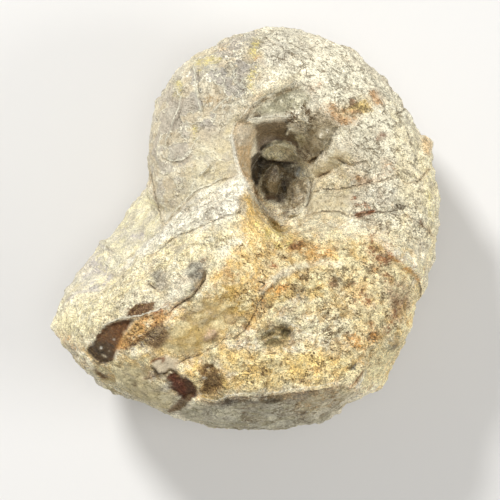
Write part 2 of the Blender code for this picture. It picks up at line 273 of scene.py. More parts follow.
def split_upper_faces(mesh):
    """Halves the mesh's edges where it faces the camera, so that the detail lies where it shows."""
    work = bmesh.new()
    work.from_mesh(mesh)
    work.normal_update()
    edges = [edge for edge in work.edges if any(face.normal.z > UPPER_FACE for face in edge.link_faces)]
    bmesh.ops.subdivide_edges(work, edges=edges, cuts=1, use_grid_fill=True)
    work.to_mesh(mesh)
    work.free()


# ---------------------------------------------------------------- marks, in the picture's pixels


def places_of(text):
    """The places along a line or round an outline, from across,down pairs."""
    return np.array([place.split(",") for place in text.split()], float)


def drawn(*rows):
    """Rows of marks whose last entry, the places, is written as such a text."""
    return [(*row[:-1], places_of(row[-1])) for row in rows]


# Colours, as red, green and blue of 255
PALETTE = {
    "cream": (238, 230, 205), "warm cream": (242, 228, 180), "warm pale": (242, 230, 184),
    "straw": (234, 215, 162), "edge cream": (254, 242, 196), "pale venter": (182, 176, 148),
    "bluish grey": (150, 152, 148), "pale cream": (240, 234, 208), "white": (246, 243, 226),
    "bright": (248, 242, 218), "taupe": (196, 184, 160), "grey": (150, 144, 128),
    "plate grey": (214, 198, 168), "red brown": (76, 38, 14), "crystal brown": (104, 76, 46),
    "lilac grey": (196, 188, 180), "green grey": (182, 174, 142), "olive": (184, 160, 102),
    "ochre": (220, 184, 112), "yellow": (232, 204, 132), "lemon": (226, 210, 134), "orange": (214, 156, 84),
    "rust": (148, 90, 54), "maroon": (110, 44, 26), "tan": (198, 170, 128), "brown": (112, 80, 52),
    "dark brown": (78, 54, 36), "shadow": (54, 43, 28), "pink": (206, 176, 146), "speck": (78, 66, 50),
    "stain": (178, 142, 92), "wrinkle": (128, 108, 78), "whorl grey": (202, 188, 160),
    "flank tan": (212, 199, 164), "wall cream": (232, 223, 182), "cap grey": (210, 202, 168),
    "dark olive": (92, 78, 54), "pit olive": (146, 127, 88), "pit tan": (146, 128, 94),
    "funnel olive": (128, 112, 80), "venter grey": (156, 149, 121), "foot tan": (253, 240, 208),
    "terrace grey": (158, 152, 126), "hollow olive": (124, 112, 76), "dull olive": (150, 122, 56),
    "hollow grey": (172, 166, 158), "red tan": (192, 152, 108), "pinkish tan": (194, 166, 134),
    "blue cream": (224, 222, 206), "olive yellow": (204, 178, 112), "flake": (216, 184, 134),
    "stain brown": (132, 88, 56), "venter shade": (104, 94, 72), "hollow brown": (98, 78, 48),
    "crystal tan": (208, 152, 86), "band white": (250, 246, 228), "low left": (200, 184, 134),
    "pebble": (106, 102, 92), "gold": (226, 186, 112), "light gold": (246, 214, 136),
    "pit blue": (188, 196, 200), "deep olive": (172, 144, 76), "tail brown": (126, 102, 76),
    "polished red": (112, 74, 44), "polished grey": (80, 64, 44),
}

# Outlines that more than one table uses
POLISHED_PATCH = (
    "106,325 120,320.5 133.5,319 127,327 123,334 121,345 115.5,354 113.5,361.5 100,363.5 94,358.5 "
    "87.5,348.5 93,345 96,336 102,329"
)
POLISHED_CORE = "106,325 133,319 123,334 114,361 100,363 88,348"
PLATE = "152,361.5 166,353.5 178.5,360.5 177.5,371 169.5,368.5 165.5,372.5 158,374.5 153,367.5"
PALE_RIDGE = (
    "257,292 265,281 279,270 299,262 325,258 346,262 340,268 318,266 301,270 285,277 273,287 264,295"
)
VENTER = "176,409 225,399 292,393 343,387 360,392 330,430 250,445 190,425"
WHORL_STREAK = "267,176 272,174 279,176 281,186 277,192 268,191"
BLUE_SIDE = "295,167 300,165.5 305.5,168.5 307.5,177 302,178.5 296,176"

# Wide zones of colour: colour, strength, softness of the edge and outline
ZONES = drawn(
    # The whorl, the crown and the flanks
    ("whorl grey", 1.0, 9, "150,185 146,150 152,112 172,78 200,50 235,32 262,27 270,55 262,80 245,105 "
     "236,125 232,150 215,165 195,185 178,206 164,226 158,205"),
    ("pale cream", 0.9, 8, "262,24 300,24 335,32 330,45 290,42 262,40"),
    ("flank tan", 1.0, 6, "194,150 213,141 232,128 238,150 240,175 211,184 195,194 180,209 172,216 "
     "188,178"),
    ("flank tan", 1.0, 6, "306,166 320,160 345,152 356,165 356,200 348,215 330,226 305,232 287,228 "
     "304,214 311,195"),
    ("pale cream", 0.7, 12, "300,40 345,45 385,75 415,120 420,165 400,175 370,160 345,120 320,95 290,75"),
    # The chamber wall and the mouth
    ("wall cream", 0.9, 4, "146,182 155,205 163,224 150,236 115,280 90,268 100,240 125,210"),
    ("band white", 1.0, 4, "165,228 181,210 196,194 212,187 238,176 247,184 246,198 240,213 215,221 "
     "190,233 170,241 152,252 132,263 120,276 118,268 135,250 150,238"),
    ("warm cream", 0.9, 8, "118,275 150,250 170,240 190,233 240,214 238,240 215,262 190,262 160,300 "
     "100,330 70,335 52,318 75,285"),
    ("edge cream", 0.9, 8, "38,330 52,308 80,306 104,300 108,318 84,335 60,352 44,345"),
    # The face below the umbilicus
    ("ochre", 0.85, 12, "247,192 262,205 285,229 315,240 330,260 310,290 285,305 262,330 240,330 225,300 "
     "212,282 228,262 240,235"),
    ("dull olive", 0.85, 9, "150,348 170,322 196,300 225,285 262,292 256,310 246,328 225,340 200,356 "
     "178,364 150,362"),
    ("straw", 0.85, 14, "330,235 380,240 420,285 410,340 388,385 352,383 310,350 300,300"),
    ("yellow", 0.85, 8, "198,358 223,345 246,351 262,357 300,350 345,335 352,360 345,378 318,386 270,390 "
     "232,392 235,375 215,364"),
    # The venter and the lower left
    ("venter grey", 1.0, 4, "176,409 196,401 225,399 255,396 292,392 319,389 343,385 353,378 350,396 "
     "330,420 300,435 260,440 215,435"),
    ("pale venter", 0.8, 5, "176,409 196,402 225,401 240,412 225,432 195,428"),
    ("low left", 0.8, 7, "90,368 115,360 150,350 152,380 172,395 184,402 170,414 140,404 105,386"),
    # The right edge and flank
    ("edge cream", 0.9, 7, "424,150 442,165 442,230 432,268 425,240 430,200 422,170"),
    ("warm cream", 0.6, 12, "392,105 425,145 434,200 415,250 390,235 398,195 392,150"),
    ("green grey", 0.25, 10, "340,192 385,185 425,180 430,225 425,262 400,254 375,232 345,215"),
)

# Stains and patches inside an outline: colour, strength, softness of the edge and outline
PATCHES = drawn(
    # The steps over the umbilicus, the painted shade in its funnel and hollow, and its walls
    ("terrace grey", 1.0, 3, "247,117 256,103 266,95 285,88 300,86 312,98 304,110 285,114 262,116"),
    ("flank tan", 0.7, 2.5, "228,126 238,107 255,91 275,81 300,71 305,78 284,88 265,97 252,109 239,125"),
    # Painted shade in the funnel and in the hollow under the inner step
    ("funnel olive", 0.85, 5, "302,112 318,108 336,122 330,142 314,158 308,150 300,132"),
    ("hollow brown", 0.9, 5, "250,126 262,121 285,119 300,128 306,150 296,146 285,140 268,140 256,148"),
    ("tan", 0.95, 1.5, "231.5,134 237,122 250,121 256,132 251,150 251,170 256,190 268,207 281,221 "
     "262,209 247,186 243,176 236.5,170 233,150"),
    ("taupe", 0.8, 3, "235,132 238,124 250,123 253,132 247,144 240,146 235,142"),
    # The lower wall of the pit, painted lighter than its stone as painted light where little light reaches
    ("bright", 1.0, 4, "262,203 275,205 289,204 296,208 284,222 272,216"),
    # The inner whorl: painted shade round its cap and in its crescent, its cap, sides and foot
    ("dark brown", 0.75, 2, "257,151 259,142 266,138 278,136.5 290,138 297,143 300.5,152 300,162 292,163 "
     "270,163 260,158"),
    ("dark olive", 0.95, 2, "261,160 279,161 290,164 298,167 297,178 289,184 286,197 266,200 260,192 "
     "261,175"),
    # The cap, painted lighter than its stone as painted light in the deep pit
    ("cap grey", 1.0, 1.2, "262.8,158 263,150 268,144 277,141.5 286,142 293,146 296,153 295.5,160 "
     "289,161 279,160 268,160"),
    ("cream", 0.55, 1.8, "268,155 270,149 277,147 281,151 276,156"),
    ("cream", 0.3, 1.5, "284,157 285,150 291,151 291,157"),
    # The crescent: painted shadow between the left wall and the inner whorl, lighter at its middle
    ("shadow", 0.95, 1.5, "251,157 258,152 262.5,158 262,172 259,184 256,188 252,178 250.5,166"),
    ("wrinkle", 0.5, 1.5, "254,168 257,163 258,172 256,180"),
    ("grey", 0.45, 1.5, "282,164.5 289,164 293,168 292,172 285,171"),
    ("pit tan", 0.65, 2.5, WHORL_STREAK),
    # The blue side, painted lighter than its stone as painted light in the deep pit
    ("pit blue", 0.95, 1.2, BLUE_SIDE),
    ("pit olive", 0.9, 1.5, "288,184 297,178 307,180 308.5,190 306,199 296,204 286,203 284,196"),
    ("dark brown", 0.8, 1.5, "263,198 268,196 284,197 285,202.5 268,203"),
    # The foot, painted lighter than its stone as painted light in the deep pit
    ("foot tan", 1.0, 2, "261,202 285,204 300,203 306,200 302,212 292,220 281,223 269,212"),
    ("warm cream", 0.5, 2, "264,204 274,203.5 280,208 272,211"),
    ("funnel olive", 0.85, 2.2, "282,199 296,200 309,196 307,208 300,216 291,221 284,218 281,209"),
    # The ball and the rubble beside the cap
    ("cap grey", 0.75, 1.5, "296.5,136 300.5,133.5 304.5,137.5 304.5,145 300.5,148 297,143"),
    ("cream", 0.7, 2.5, "286,113 296,110 308,116 310,128 300,133 290,133 288,124"),
    # The painted shade under the ledge, the notch, the disc and the painted shade of the band under the
    # outer step
    ("venter shade", 0.8, 3, "220,402 232,396.5 255,396 277,395 300,391.5 320,389.5 338,387 347,384 "
     "341,391 318,395 300,399 277,402.5 252,403.5 232,404.5 221,408"),
    ("wrinkle", 0.8, 1.5, "250.5,118 256,112 260,114 259,118.5"),
    ("grey", 0.7, 1.5, "240,66 243,61 250,61 253,66 250,72 243,72"),
    # Painted shade in the tan band under the outer step
    ("tan", 0.4, 2, "240,122 256,103 264,94 262,90 252,100 238,118"),
    # The oval lump and the grey patch
    ("grey", 1.0, 2.5, "186,270 191,262 199,261 206,268 203,280 197,292 190,297 186,294 192,282"),
    ("grey", 0.95, 3.5, "151,273 160,268 168,272 168,284 162,293 154,288"),
    # The polished brown patch and the crystals beside it
    ("brown", 1.0, 1.3, POLISHED_PATCH),
    ("polished red", 0.8, 4, "114,322 134,318 126,330 118,340 112,332"),
    ("polished grey", 0.9, 4, "86,349 96,340 108,343 114,354 106,365 94,360"),
    ("brown", 0.95, 2, "125.5,315 132,304.5 142,303 150,301.5 158,299.5 155,308 149.5,313.5 144,317.5 "
     "138,317 130,318"),
    ("crystal tan", 0.9, 3, "116,350 122,336 130,326 140,318 152,312 166,308 172,314 164,322 150,332 "
     "138,343 124,352"),
    ("crystal brown", 0.82, 3, "137,340 147,331 153,324 161,321.5 166.5,327 168.5,337 163,344 155,349.5 "
     "147,346 141,343"),
    ("crystal brown", 0.7, 1.5, "126,348 134,341 146,333 147,337 137,346 128,351"),
    ("rust", 0.7, 2, "150,312 160,306 170,304 164,312 154,316"),
    # The plates and the red-brown patch
    ("pink", 0.7, 1.2, "142,380 150,371 158,369 163,372 158,377 149,380"),
    ("wrinkle", 0.8, 1.5, "131,383 135,381 138,385 135,389"),
    ("plate grey", 0.95, 1.5, PLATE),
    ("tail brown", 0.95, 2, "181,392 193,393 191,400.5 186,406 180,410.5 170,414 166,411 175,403.5 "
     "180,397.5"),
    ("red brown", 0.94, 2, "166,376 171,371.5 176,370 180.5,376.5 186,377 192.5,380.5 198.5,388 197,397 "
     "189.5,401 182.5,398 177,395.5 175,392 172,392 171.5,389 167,388.5 170.5,383.5 166,381"),
    ("maroon", 0.4, 2.5, "169,376 175,373 179,379 184,383 187,394 180,393 174,388"),
    ("dark brown", 0.6, 3, "187,380 193,384 197,391 193,398 187,398 186,389"),
    # The golden crystals and small brown marks
    ("gold", 0.8, 3, "186,370 200,362 214,364 226,374 231,386 222,398 212,402 203,397 196,385"),
    ("crystal brown", 0.85, 3.2, "202,365 205,361 210,362 214,361.5 219,370 221,378 226,384 222,390 "
     "211,394 200,393.5 203,384 197,375"),
    ("brown", 0.75, 1.5, "179,319 184,315 188,321 183,321"),
    ("rust", 0.85, 1.2, "166.5,315 173,308 179,302 178,306 171,313"),
    ("brown", 0.85, 1.5, "93,369 99,371 106,374 109,378 103,379 96,375"),
    # The hollow in the face and the ridge above it
    ("hollow olive", 1.0, 6, "258,338 266,328 282,322 293,328 291,341 280,349 264,348"),
    ("pale cream", 0.75, 2.5, PALE_RIDGE),
    ("olive yellow", 0.75, 4, "266,300 274,288 288,280 300,278 296,292 284,302 272,310"),
    ("olive yellow", 0.7, 4, "302,284 314,278 326,282 322,294 308,298"),
    ("terrace grey", 0.45, 4, "288,282 298,280 304,290 300,300 290,296"),
    ("pale cream", 0.6, 6, "300,318 322,312 350,320 356,345 340,356 316,350 300,336"),
    # The right side, the crown and the sutures
    ("pinkish tan", 0.75, 5, "384,292 394,280 412,284 410,308 398,326 390,312"),
    ("white", 0.6, 3, "378,240 388,246 402,255 416,262 420,272 404,263 390,254"),
    ("bluish grey", 0.4, 2, "275,41 284,42 292,51 287,55 278,48"),
    ("blue cream", 0.6, 4, "362,192 385,184 398,190 392,203 372,206"),
    ("maroon", 0.85, 1.2, "354,214.5 362,211.5 373,209 376,211.5 366,216 357,217.5"),
    # Stains on the shoulder right of the umbilicus
    ("olive yellow", 0.6, 5, "334,112 348,102 368,97 374,104 362,114 344,120"),
    ("red tan", 0.7, 2.5, "371,94 377,92 381,101 377,105 372,101"),
    ("red tan", 0.6, 3, "326,103 334,102 345,116 356,118 352,124 338,123"),
    ("maroon", 0.6, 1.5, "376,138 380,132 386,133 384,139 379,141"),
    ("red tan", 0.6, 2.5, "354,178 366,177 372,182 360,185"),
    ("terrace grey", 0.12, 14, "330,60 370,84 396,130 408,190 396,236 356,226 352,160 326,110"),
    # The right lobe, the flake, the lump, the tip and the hollow by the ledge
    ("light gold", 0.55, 7, "284,360 300,356 320,360 318,378 290,378"),
    ("flake", 0.85, 2, "421,134 426,134 433,143 430,157 423,152"),
    ("grey", 0.7, 3, "382,343 391,335 401,338 400,348 389,352"),
    ("edge cream", 0.8, 8, "56,318 80,308 96,322 84,344 62,340"),
    ("deep olive", 0.5, 6, "176,336 190,326 208,324 206,342 192,352 178,350"),
    ("cream", 0.6, 8, "262,30 300,26 332,36 330,60 296,70 268,60"),
    ("pebble", 1.0, 1.5, "349,369 355,363 359,362 356,369 351,371"),
)

# Stains, and some painted shade and glints, along a line or round a spot: colour, strength, half-width and
# line
STROKES = drawn(
    # The whorl and the crown
    ("lemon", 0.6, 5.5, "197,63 203,68 208,62 218,60"),
    ("lemon", 0.8, 4.0, "255,43 253,53 259,60 260,68"),
    ("orange", 0.5, 3, "259,62 260,66"),
    ("lemon", 0.5, 4, "256,70 249,78 251,90"),
    ("bluish grey", 0.22, 4, "222,92 232,84 240,98 228,106"),
    ("bluish grey", 0.4, 4, "226,122 232,112"),
    ("bluish grey", 0.35, 4, "212,72 224,70 232,76"),
    ("lemon", 0.6, 3.5, "178,84 178,95"),
    ("lemon", 0.5, 2.5, "195,128 195,140"),
    ("tan", 0.6, 4, "206,99 217,100"),
    ("tan", 0.5, 4, "222,48 229,51"),
    ("pale cream", 0.9, 1.3, "196,59 194.5,75 195,86 198.5,98 200,112"),
    ("grey", 0.6, 1.1, "199,88 202,98 202,112"),
    # The umbilicus and the inner whorl
    ("white", 0.8, 1.6, "231,135 234,148 237,163 241,175 248,186 256,200 268,212 282,224"),
    # Painted shadow under the outer step
    ("wrinkle", 0.6, 2.0, "245,119 254,107 266,99 284,92 299,87"),
    ("speck", 0.6, 2.5, "251,117.5 258,114 264,116"),
    ("shadow", 0.95, 1.3, "261,157 268,161 280,162.5 295,163.5"),
    ("pale cream", 0.8, 1.1, "294.5,147 297,160 303,166 308,174 309.7,191 305,205 299,217 284,222.5"),
    # Painted glints on the blue side of the inner whorl
    ("white", 0.8, 1.0, "303.5,168 306.5,173 307.5,180 308.5,187"),
    ("white", 0.6, 0.8, "299,172 302,175 300,177.5"),
    ("pit tan", 0.6, 0.8, "271,176 270,171 273,167 277,167 279.5,171 278.5,176"),
    ("shadow", 0.5, 1.2, "273.5,174 275,170.5 277,173"),
    ("shadow", 0.8, 1.6, "265.5,189 267,193"),
    ("shadow", 0.6, 1.2, "310,181 311,190 310,199 306,207"),
    ("shadow", 0.75, 1.6, "283,180 285.5,190"),
    ("shadow", 0.7, 1.3, "308,194 308,199"),
    ("shadow", 0.5, 0.9, "290,184 293,191 292,199"),
    ("shadow", 0.5, 0.9, "298,181 301,188 306,192"),
    ("cream", 0.6, 1.4, "297,186 298,192"),
    ("cream", 0.5, 1.2, "303,195 299,199"),
    ("cream", 0.6, 0.8, "257,187 261,182 263,175"),
    ("cream", 0.6, 0.8, "283,220 291,214.5 297,212"),
    ("brown", 0.5, 0.8, "281,215 290,210 299,205"),
    ("cap grey", 0.9, 4.5, "300.3,139.5"),
    # Painted shade in the funnel, the creases and the hollow beside the cap
    ("dark brown", 0.6, 5, "304,150 309,158"),
    ("shadow", 0.5, 1.8, "308,161.5 312,160 316,157.5"),
    # Painted shading along the crease up the funnel
    ("speck", 0.5, 3, "316,157.5 324,150 331,140 333,134"),
    ("brown", 0.4, 1.6, "320,175.5 328,172"),
    ("shadow", 0.7, 3, "287,122 291,121"),
    ("cream", 0.9, 3.4, "322.6,133.5"),
    ("cream", 0.6, 2.5, "327.5,131"),
    ("white", 0.8, 1.2, "287,134 289,130 292,128"),
    ("shadow", 0.7, 1.0, "285,133 288,127"),
    # Stains and sutures right of the umbilicus
    ("olive yellow", 0.9, 7, "344,113 356,108 366,104"),
    ("red tan", 0.75, 5, "328,106 335,115 344,121 354,120"),
    ("stain brown", 0.6, 2.2, "346,104 353,101"),
    ("red tan", 0.85, 4.5, "374,94 379,102"),
    ("pink", 0.5, 4, "313,89 321,86"),
    ("maroon", 0.6, 1.8, "377,139 381,134 385,136"),
    ("plate grey", 0.6, 5, "374,134 384,138"),
    ("wrinkle", 0.6, 1.0, "376,141 380,148 384,152"),
    ("red tan", 0.7, 4, "385,162 391,170"),
    ("red tan", 0.85, 4, "358,178 366,181"),
    ("pink", 0.6, 3, "367,182 380,177 388,172"),
    ("grey", 0.3, 5, "352,150 366,140"),
    ("stain brown", 0.6, 4, "353,200 357,206"),
    ("stain brown", 0.45, 2.5, "402,211 411,218 421,224 428,231 433,238"),
    ("stain brown", 0.35, 2.5, "407,184 419,180 425,174 430,169"),
    ("rust", 0.7, 2.2, "354.5,198"),
    ("rust", 0.5, 2.5, "364,204 368,207"),
    ("maroon", 0.85, 2.0, "356,215 364,213.5 374,211.5"),
    ("pink", 0.7, 1.2, "362,214 366,213.5"),
    ("speck", 0.85, 3.5, "396,206 402,207.5"),
    ("speck", 0.6, 2.2, "432.5,222"),
    ("rust", 0.85, 5, "290,243 305,248"),
    # The grainy lower right
    ("orange", 0.6, 7, "313,253 330,252"),
    ("speck", 0.5, 4, "274,243 279,247"),
    ("rust", 0.6, 4.5, "372.5,239"),
    ("rust", 0.7, 6, "370,252 376,262 388,258 388,251"),
    ("rust", 0.6, 4.5, "386,276 388,281"),
    ("rust", 0.6, 6, "352,283 362,290 360,302 370,303"),
    ("stain brown", 0.75, 5.5, "334.5,284 337,275"),
    ("rust", 0.7, 4.5, "271,265 276,268"),
    ("stain brown", 0.5, 5, "396,296 400,305"),
    ("speck", 0.38, 7, "330,340 345,333"),
    ("stain brown", 0.6, 4, "313,360 335,358"),
    ("speck", 0.4, 6, "300,290 304,282"),
    ("speck", 0.35, 7, "345,270 352,262"),
    ("shadow", 0.4, 2.0, "262,296 270,289 280,281 292,275"),
    # The lobes and the lower right corner
    ("light gold", 0.6, 9, "248,374 275,366 300,366 318,374"),
    ("pale cream", 0.7, 4, "379,357 390,354"),
    ("stain brown", 0.75, 1.8, "371,322 373,331 369,340"),
    ("tan", 0.7, 2.5, "366,346 363,356"),
    ("speck", 0.6, 1.6, "389,350 396,346"),
    ("orange", 0.3, 5, "290,372 310,376 325,380"),
    ("ochre", 0.7, 3, "250,366 268,372 290,378 312,381"),
    ("olive", 0.5, 2.2, "262,361 284,366 304,368"),
    ("rust", 0.5, 5, "229,271 236,276"),
    ("rust", 0.45, 4, "205,261"),
    # Ochre and orange round the umbilicus, and the right edge
    ("orange", 0.9, 1.8, "390,256 401,264 413.5,274.5 418,280"),
    ("orange", 0.6, 3, "268,218 276,226 285,236"),
    ("ochre", 0.9, 4, "248,198 250,212 256,224"),
    ("lemon", 0.6, 6, "266,231 280,236"),
    ("plate grey", 0.6, 3.0, "264,287 276,277 286,270"),
    ("orange", 0.7, 4, "270,291 284,288"),
    ("pale cream", 0.7, 5, "218,254 232,243 242,240"),
    ("rust", 0.75, 3, "371,342 381,336 390,324 395,313"),
    ("rust", 0.6, 1.6, "375,331 377,338"),
    ("orange", 0.6, 4, "370,328 374,340"),
    # The polished patch, the crystals and the plates
    # Painted glints on the polished patch, and painted shade beside and below them
    ("white", 0.9, 1.1, "101,348"),
    ("white", 0.7, 0.8, "114,339.5"),
    ("plate grey", 0.8, 0.9, "103,355 106,357"),
    ("plate grey", 0.5, 0.8, "109,351"),
    ("shadow", 0.8, 1.3, "96,349 99,352 103,352"),
    ("shadow", 0.6, 1.2, "110,344 113,346"),
    ("shadow", 0.7, 1.2, "88,349 94,356 101,361 112,361"),
    ("dark brown", 0.9, 1.6, "132,311 137,307 144,305"),
    # Painted glints on the crystals
    ("white", 0.9, 0.9, "147,324 149,326"),
    ("white", 0.7, 0.8, "139,336 143,334"),
    ("shadow", 0.8, 1.0, "154,368 158,374 166,373 170,369 176,372"),
    ("stain brown", 0.8, 1.4, "151,362 156,359 164,358 163,362"),
    ("yellow", 0.8, 1.0, "186,372 191,378 197,385"),
    ("yellow", 0.9, 1.2, "197,361 194,370 198,380"),
    ("yellow", 0.9, 1.4, "212,401 221,397 226,389 224,381"),
    ("yellow", 0.8, 1.2, "203,396 208,400 214,398"),
    # Painted glints on the golden crystals
    ("white", 0.9, 0.8, "208,368 209,371"),
    ("white", 0.8, 0.8, "203,377 206,379"),
    ("wrinkle", 0.7, 2.0, "189,396 184,405 174,410"),
    # Spots on the lower right, the venter and the hollow
    ("orange", 0.8, 4.5, "354,339 359,345"),
    ("tan", 0.6, 3.5, "356,377 363,381"),
    ("rust", 0.6, 4, "301,413 308,413"),
    ("shadow", 0.7, 1.3, "282,332 286,330 290,331 287,335"),
    ("cream", 0.3, 1.0, "263,342 270,337 279,337 284,341"),
    ("cream", 0.25, 1.0, "266,331 274,330 280,333"),
    ("orange", 0.4, 5, "262,300 252,322 240,338"),
    ("lemon", 0.4, 3, "428,190 432,215"),
    ("orange", 0.45, 5, "60,335 74,345"),
    # The bump, the oval lump, painted shade under the ledge, and the corner
    ("pink", 0.7, 4, "206,336 213,333"),
    ("brown", 0.6, 2, "212,339 216,334"),
    ("shadow", 0.6, 1.5, "205,272 201,284 192,296 180,304"),
    # Painted shade under the ledge
    ("speck", 0.7, 4.5, "228,401 255,400 277,399 300,396"),
    ("stain brown", 0.6, 3.5, "345,392 351,388 357,392"),
    ("stain brown", 0.45, 3, "352,377 358,384"),
    ("warm pale", 0.8, 6, "372,374 382,366 388,354"),
    # A darker painted shade just under the ledge's edge
    ("speck", 0.7, 1.6, "222,404 232,398 255,397 277,396 292,393.5 318,390.5 338,387"),
    ("tan", 0.6, 12, "308,402 330,396"),
    ("wrinkle", 0.6, 5, "246,409 254,405"),
    ("speck", 0.8, 1.8, "302,414 306,412"),
    # The chamber wall, and last touches at the corner
    ("lilac grey", 0.8, 4, "134,237 142,236"),
    ("lilac grey", 0.8, 5, "90,270 98,262 103,270"),
    ("lilac grey", 0.7, 4, "84,288 94,282"),
    ("lilac grey", 0.6, 3.5, "116,238 124,232"),
    ("stain brown", 0.5, 2.5, "122,313 128,308"),
    ("stain brown", 0.8, 1.6, "363,371 358,379 350,388"),
    ("white", 0.7, 1.4, "366,372 362,380 356,388"),
    ("lilac grey", 0.8, 2.5, "84,276 96,270 111,276 104,286 90,288"),
    ("lilac grey", 0.7, 1.8, "68,300 78,292 98,290"),
    ("lilac grey", 0.6, 2, "100,245 112,252 108,262"),
)

# Dark cracks, cut as thin grooves: depth, half-width and line
CRACKS = drawn(
    # The main crack, the mouth and the whorl
    (0.3, 1.1, "176,364 188,359 201,354 217,345 225,339 236,338 248,326 252,318 256,310 259,303 263,297 "
     "266,291"),
    (0.22, 0.9, "236,344 249,351 252,359"),
    (0.22, 1.0, "150,256 158,251 168,242 178,235.5 189,232 203,226 215.5,220 230,215 240,212 241,204"),
    (0.15, 1.0, "167,223 181,208.5 191,197.5 197,191.5 211,185.5 224,179.5 238,174.5"),
    (0.2, 1.0, "150,172 152,180 155.5,198 159.5,211 162.5,222 163,228"),
    # Sutures and creases right of the umbilicus
    (0.25, 0.9, "311,193 322,189.5 337,189.5 354,186.5 367,184 380,181 391.5,177 398,174"),
    (0.25, 1.0, "402,180 407,184.5 420,180 425,174 430.5,169"),
    (0.25, 0.9, "307,216 315,212.5 325,211.5 338,211.5 347,215 354,216 366,213 380,212.5 391,211.5 "
     "400,208"),
    (0.28, 1.0, "402,211 411.5,219 421,224.5 427.5,230 433,237"),
    (0.35, 1.4, "309,162.5 312,160 316,157"),
    (0.3, 1.1, "319,176 324,174 330,171.5"),
    (0.25, 1.0, "336,158 348,165 358,163 367,161"),
    (0.25, 1.0, "397,113 401,112 405.5,108"),
    # The face of the mouth, its lumps and plates, and the ledge
    (0.14, 1.3, "134,253 127,259 124.5,266 123.5,273 120.5,288"),
    (0.25, 0.9, "147,283 153,287 160,293"),
    (0.45, 1.6, "207,268 205,278 199,289 191,297 178,305 168,314"),
    (0.22, 0.8, "150,365 153,369 158,375 165,373.5 169.5,369.5 175,373 178,377"),
    (0.2, 0.8, "144,380 151,378 156,376"),
    # The groove at the foot of the ledge, with its dark line partly painted shade
    (0.2, 1.3, "198,400 210,403 218,404 226,400 233,397 252,397.5 277,396.5 292,393.5 318,390.5 "
     "338,387.5 348,384"),
    # Dark edges of the veins and on the crown
    (0.14, 0.8, "198,68 198.5,84 200,96 203,108 203.5,118"),
    (0.14, 0.8, "183,99 182,106 178.5,115 174,127 169,139 167,149"),
    (0.14, 0.8, "163,157.5 172,162.5 183,162.5 192,154.5"),
    (0.12, 0.8, "211,166 207,171.5 202,177"),
    (0.14, 0.9, "222,66 231,62 240,72 238,82 244,91"),
    (0.14, 0.9, "262,35 270,41 282,48 291,55 300,57"),
    # The hollow, the brown patch and the right edge
    (0.2, 0.9, "265,354 270,353 277,353"),
    (0.14, 0.8, "260,332 266,327 274,326 282,328"),
    (0.14, 0.8, "263,340 269,335 277,334 283,336"),
    (0.14, 0.8, "268,346 274,342 281,342 286,339"),
    (0.2, 0.9, "100,366 94,361 87,350"),
    (0.35, 1.4, "261,288 264,283 258,281 250,277"),
    (0.3, 1.4, "418,280 421,290 420,297"),
)

# Pale lines, some of them painted highlights on lit edges: strength and line
PALE_LINES = drawn(
    # Round the umbilicus
    (0.55, "240,119 235,124 231.5,134 233,150 236.5,170 243,176.5 247,187 255.5,201 262.5,210 "
     "271.5,216.5 281,223"),
    # Painted highlight along the edge of the inner step
    (0.8, "244,122 252,119 262,117.5 272,116.5 284,116.5 292,113.5"),
    (0.6, "281,221 290,219 299.5,213 307,204 309,190 307.5,174 300,166 296,156 291,143 284,140"),
    # Veins, curls and a scratch on the whorl and the crown
    (0.9, "194,60 194,69 195.4,83 196.7,94 198.8,101 200.3,112"),
    (0.75, "175,88 180,98 179,105 176,113 173.5,118 171.5,126 166.5,138 165,147"),
    (0.85, "161,155 166,159 172,160.5 182,160.5 191,152 194,150.5"),
    (0.6, "176,155 182,158 190,151 195.4,140.5 199,137"),
    (0.8, "181,178 181.5,182 184,187"),
    (0.8, "192,175 195,181 192,190 189,193"),
    (0.6, "163,175 168,172"),
    (0.9, "209,164.5 205,170 200.5,175.5"),
    (0.7, "230,96 222,102 215,109 209,114"),
    (0.7, "264,33 272,38 284,45 293,52 301,54"),
    (0.6, "230,62 238,70 236,80 242,88 252,92"),
    (0.9, "228,62 234,71 232,79 240,87 238,96 245,100"),
    (0.8, "216,73 225,79 223,88 232,92 234,101"),
    (0.8, "246,75 240,83 249,90 252,97"),
    (0.55, "210,78 216,84 224,86 230,92"),
    (0.55, "184,120 192,124 200,121 207,126"),
    (0.5, "178,132 186,136 190,143"),
    # The lip, the outer step, the chamber wall, the ledge and the crystals
    (0.95, "165,221 179,206.5 189,196 196,190 211,184 224,178"),
    # Painted highlight along the edge of the outer step
    (0.6, "238,121 245,112 254,103 264,97 276,91 290,85 299,80"),
    (0.7, "86,252 94,244 102,240 107,245 103,251"),
    (0.7, "101,256 106,262 110,269 118,264 121,256"),
    (0.5, "74,282 84,277 92,278 100,286"),
    (0.5, "118,218 126,222 130,230 140,228"),
    (0.4, "172,238 186,229 200,224 216,217"),
    # Painted highlight along the edge of the ledge
    (0.5, "199,398 217,401 233,394 252,393.5 277,392.5 292,389.5 318,386 338,383"),
    (0.8, "103,328 107,324 113,320.5 124,317.5 136,316.5 148,313 160,308.5 170,304"),
)

